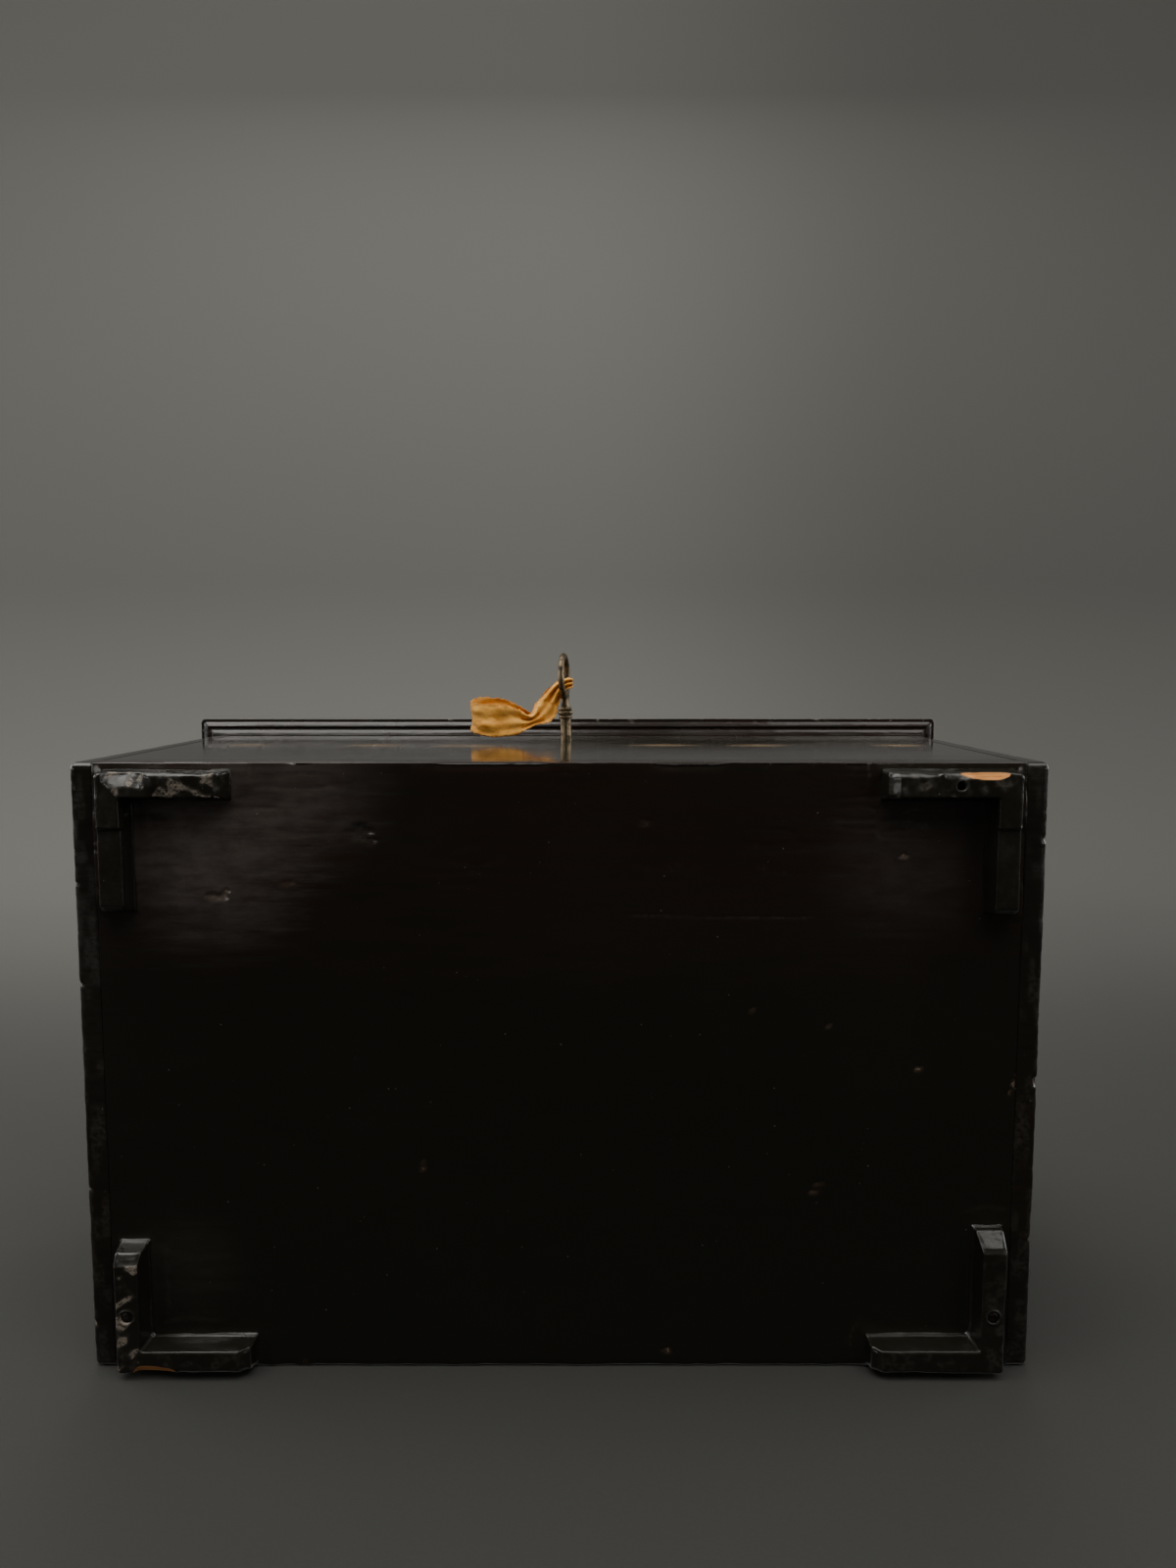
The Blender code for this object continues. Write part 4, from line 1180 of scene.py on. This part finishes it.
for quarter, side in enumerate(("front", "right", "back", "left")):
    makeMoulding(side, quarter)
print("mouldings made")
makeKey()
makeRibbon()
print("key and ribbon made")


# CAD pieces that keep their shape, with a finish of their own

plainPieces = {
    "front_board": frontLacquer,
    "back_board": blackLacquer,
    "lid_panel": blackLacquer,
    "lock_case": agedBrass,
}
for name, finish in plainPieces.items():
    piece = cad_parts[name]
    piece.data.materials.clear()
    piece.data.materials.append(finish)
print("finishes put on the frame's own boards")


# Stage: a pale floor under the feet, and a leaning grey paper behind the back of the box, with painted shade
# on the paper

stageLook = {
    "floor": (0.34, 0.335, 0.32),
    "paper": (0.118, 0.116, 0.106),
    "paperShade": (0.037, 0.037, 0.034),     # painted shade on the sheet behind the foot of the box
    "shadeFrom": (0.2, 1.15),                # heights between which the painted shade turns into the plain paper
    "rightShade": 0.72,                      # painted shade: the sheet is darker on the right
    "lean": 0.046,
    "paperLow": -1.3,
    "paperHigh": 0.9,
    "sweep": 0.38,
    "paperFront": -2.6,
    "halfWidth": 2.4,
}


def stageFinish(name, colour, shade, right):
    # shows from its front side only, so that a camera behind it looks through
    f = Finish(name, Roughness=0.9, Specular_IOR_Level=0.1)
    # painted shade: darker towards the bottom between the shadeFrom heights, and towards the right
    tone = f.blend(f.ramp(f.axis("Z"), *stageLook["shadeFrom"]), shade, colour)
    tone = f.blend(f.ramp(f.axis("X"), -0.05, 0.5, 0.0, 1 - right), tone, (0.0, 0.0, 0.0))
    f.set(Base_Color=f.blend(f.noise(900, 2) * 0.04, tone, (0.2, 0.2, 0.2)))
    seen = f.node("LightPath", output="Is Camera Ray")
    behind = f.node("NewGeometry", output="Backfacing")
    parts = {0: seen * (1 - behind), 1: f.node("BsdfTransparent"), 2: Wire(f.shader.outputs[0])}
    plug(f.tree.nodes["Material Output"].inputs["Surface"], f.node("MixShader", inputs=parts))
    return f.material


def makePaper():
    # a leaning wall behind the back of the box that curves forward over the top of the scene
    look = stageLook
    z = np.linspace(look["paperLow"], look["paperHigh"], 40)
    y = backY + (z - undersideZ) * look["lean"]
    bend = np.radians(np.linspace(0, 90, 24))[1:]
    radius = look["sweep"]
    top = z[-1] + radius * np.sin(bend)
    forward = y[-1] - radius * (1 - np.cos(bend))
    ceiling = np.linspace(forward[-1], look["paperFront"], 20)[1:]
    z = np.concatenate([z, top, np.full(len(ceiling), top[-1])])
    y = np.concatenate([y, forward, ceiling])
    x = np.linspace(-look["halfWidth"], look["halfWidth"], 12)
    paper = gridPiece("backdrop", stacked(x, y[:, None], z[:, None]), closedV=False, flip=True)
    finish = stageFinish("Grey paper", look["paper"], look["paperShade"], look["rightShade"])
    paper.data.materials.append(finish)


def makeFloor():
    look = stageLook
    x = np.linspace(-look["halfWidth"], look["halfWidth"], 12)
    y = np.linspace(look["paperFront"], -look["paperFront"], 12)
    floor = gridPiece("floor", stacked(x, y[:, None], 0), closedV=False, flip=True)
    floor.data.materials.append(stageFinish("Pale floor", look["floor"], look["floor"], 1.0))


makePaper()
makeFloor()


def aimed(thing, where, forward, upward):
    # puts a light or camera in its place, looking along forward
    back = -np.array(forward, float) / np.linalg.norm(forward)
    right = np.cross(upward, back)
    right /= np.linalg.norm(right)
    up = np.cross(back, right)
    thing.matrix_world = Matrix([[right[k], up[k], back[k], where[k]] for k in range(3)] + [[0, 0, 0, 1]])


def softLight(name, where, aim, size, power, colour, mirrored):
    light = bpy.data.lights.new(name, "AREA")
    light.shape = "RECTANGLE"
    light.size, light.size_y = size
    light.energy = power
    light.color = colour
    lamp = bpy.data.objects.new(name, light)
    bpy.context.scene.collection.objects.link(lamp)
    forward = np.array(aim, float) - np.array(where, float)
    steep = abs(forward[2]) > 0.9 * np.linalg.norm(forward)
    aimed(lamp, where, forward, (0, 1, 0) if steep else (0, 0, 1))
    lamp.visible_camera = False
    lamp.visible_glossy = mirrored


lightLook = (
    # name, place, aim, size, power, colour, seen in reflections
    ("frontWindow", (-0.65, -1.5, -0.15), (0, 0, 0.05), (1.3, 1.0), 17, (1.0, 0.98, 0.94), True),
    ("highWindow", (-0.7, -1.45, 0.70), (0, 0, 0.1), (1.5, 0.7), 4, (1, 0.985, 0.95), True),
    ("rightWindow", (0.75, -1.45, -0.05), (0, 0, 0.1), (0.9, 1.0), 6, (1, 0.985, 0.95), True),
    ("leftSheen", (-1.15, -0.35, -0.9), (-0.1, 0, 0), (0.5, 0.7), 2.5, (1.0, 0.97, 0.93), True),
    ("rightSheen", (1.2, -0.30, -0.9), (0.1, 0, 0), (0.4, 0.6), 2.0, (1.0, 0.98, 0.93), True),
    ("leftFill", (-1.7, -0.5, 0.5), (0, 0, 0.1), (1.0, 1.4), 12, (1, 1, 1), True),
    ("rightFill", (1.8, -0.5, 0.5), (0, 0, 0.1), (1.0, 1.4), 12, (1, 1, 1), True),
    ("topSoft", (0.0, -1.15, 0.82), (0, 0, 0.1), (1.2, 0.5), 16, (1, 0.99, 0.97), False),
    ("paperWash", (0.3, -1.4, -0.7), (0.1, 0.4, 0.9), (1.4, 1.0), 16, (1, 0.99, 0.97), False),
)
for row in lightLook:
    softLight(*row)

world = bpy.data.worlds.new("Studio")
bpy.context.scene.world = world
world.use_nodes = True
air = world.node_tree
split = air.nodes.new("ShaderNodeSeparateXYZ")
plug(split.inputs[0], Wire(air.nodes.new("ShaderNodeTexCoord").outputs["Generated"]))
rise = air.nodes.new("ShaderNodeMapRange")
rise.interpolation_type = "SMOOTHSTEP"
for label, value in (("Value", Wire(split.outputs["Z"])), ("From Min", -0.25), ("From Max", 0.35),
                     ("To Min", 0.032), ("To Max", 0.122)):
    plug(rise.inputs[label], value)
air.nodes["Background"].inputs["Color"].default_value = (1.0, 0.985, 0.94, 1)
air.links.new(rise.outputs[0], air.nodes["Background"].inputs["Strength"])

# Camera: looks up at the underside, with the front of the box at the top of the picture

cameraLook = {"place": (0.0087, -0.1128, -0.3496), "pitch": 5.7, "lens": 27.05}
pitch = np.radians(cameraLook["pitch"])
lensData = bpy.data.cameras.new("Camera")
lensData.lens = cameraLook["lens"]
lensData.sensor_width = 36
lensData.sensor_fit = "AUTO"
lensData.clip_start = 0.01
camera = bpy.data.objects.new("Camera", lensData)
bpy.context.scene.collection.objects.link(camera)
aimed(camera, cameraLook["place"], (0, np.sin(pitch), np.cos(pitch)), (0, -1, 0))
bpy.context.scene.camera = camera
print("stage, lights and camera made")

bpy.context.view_layer.update()
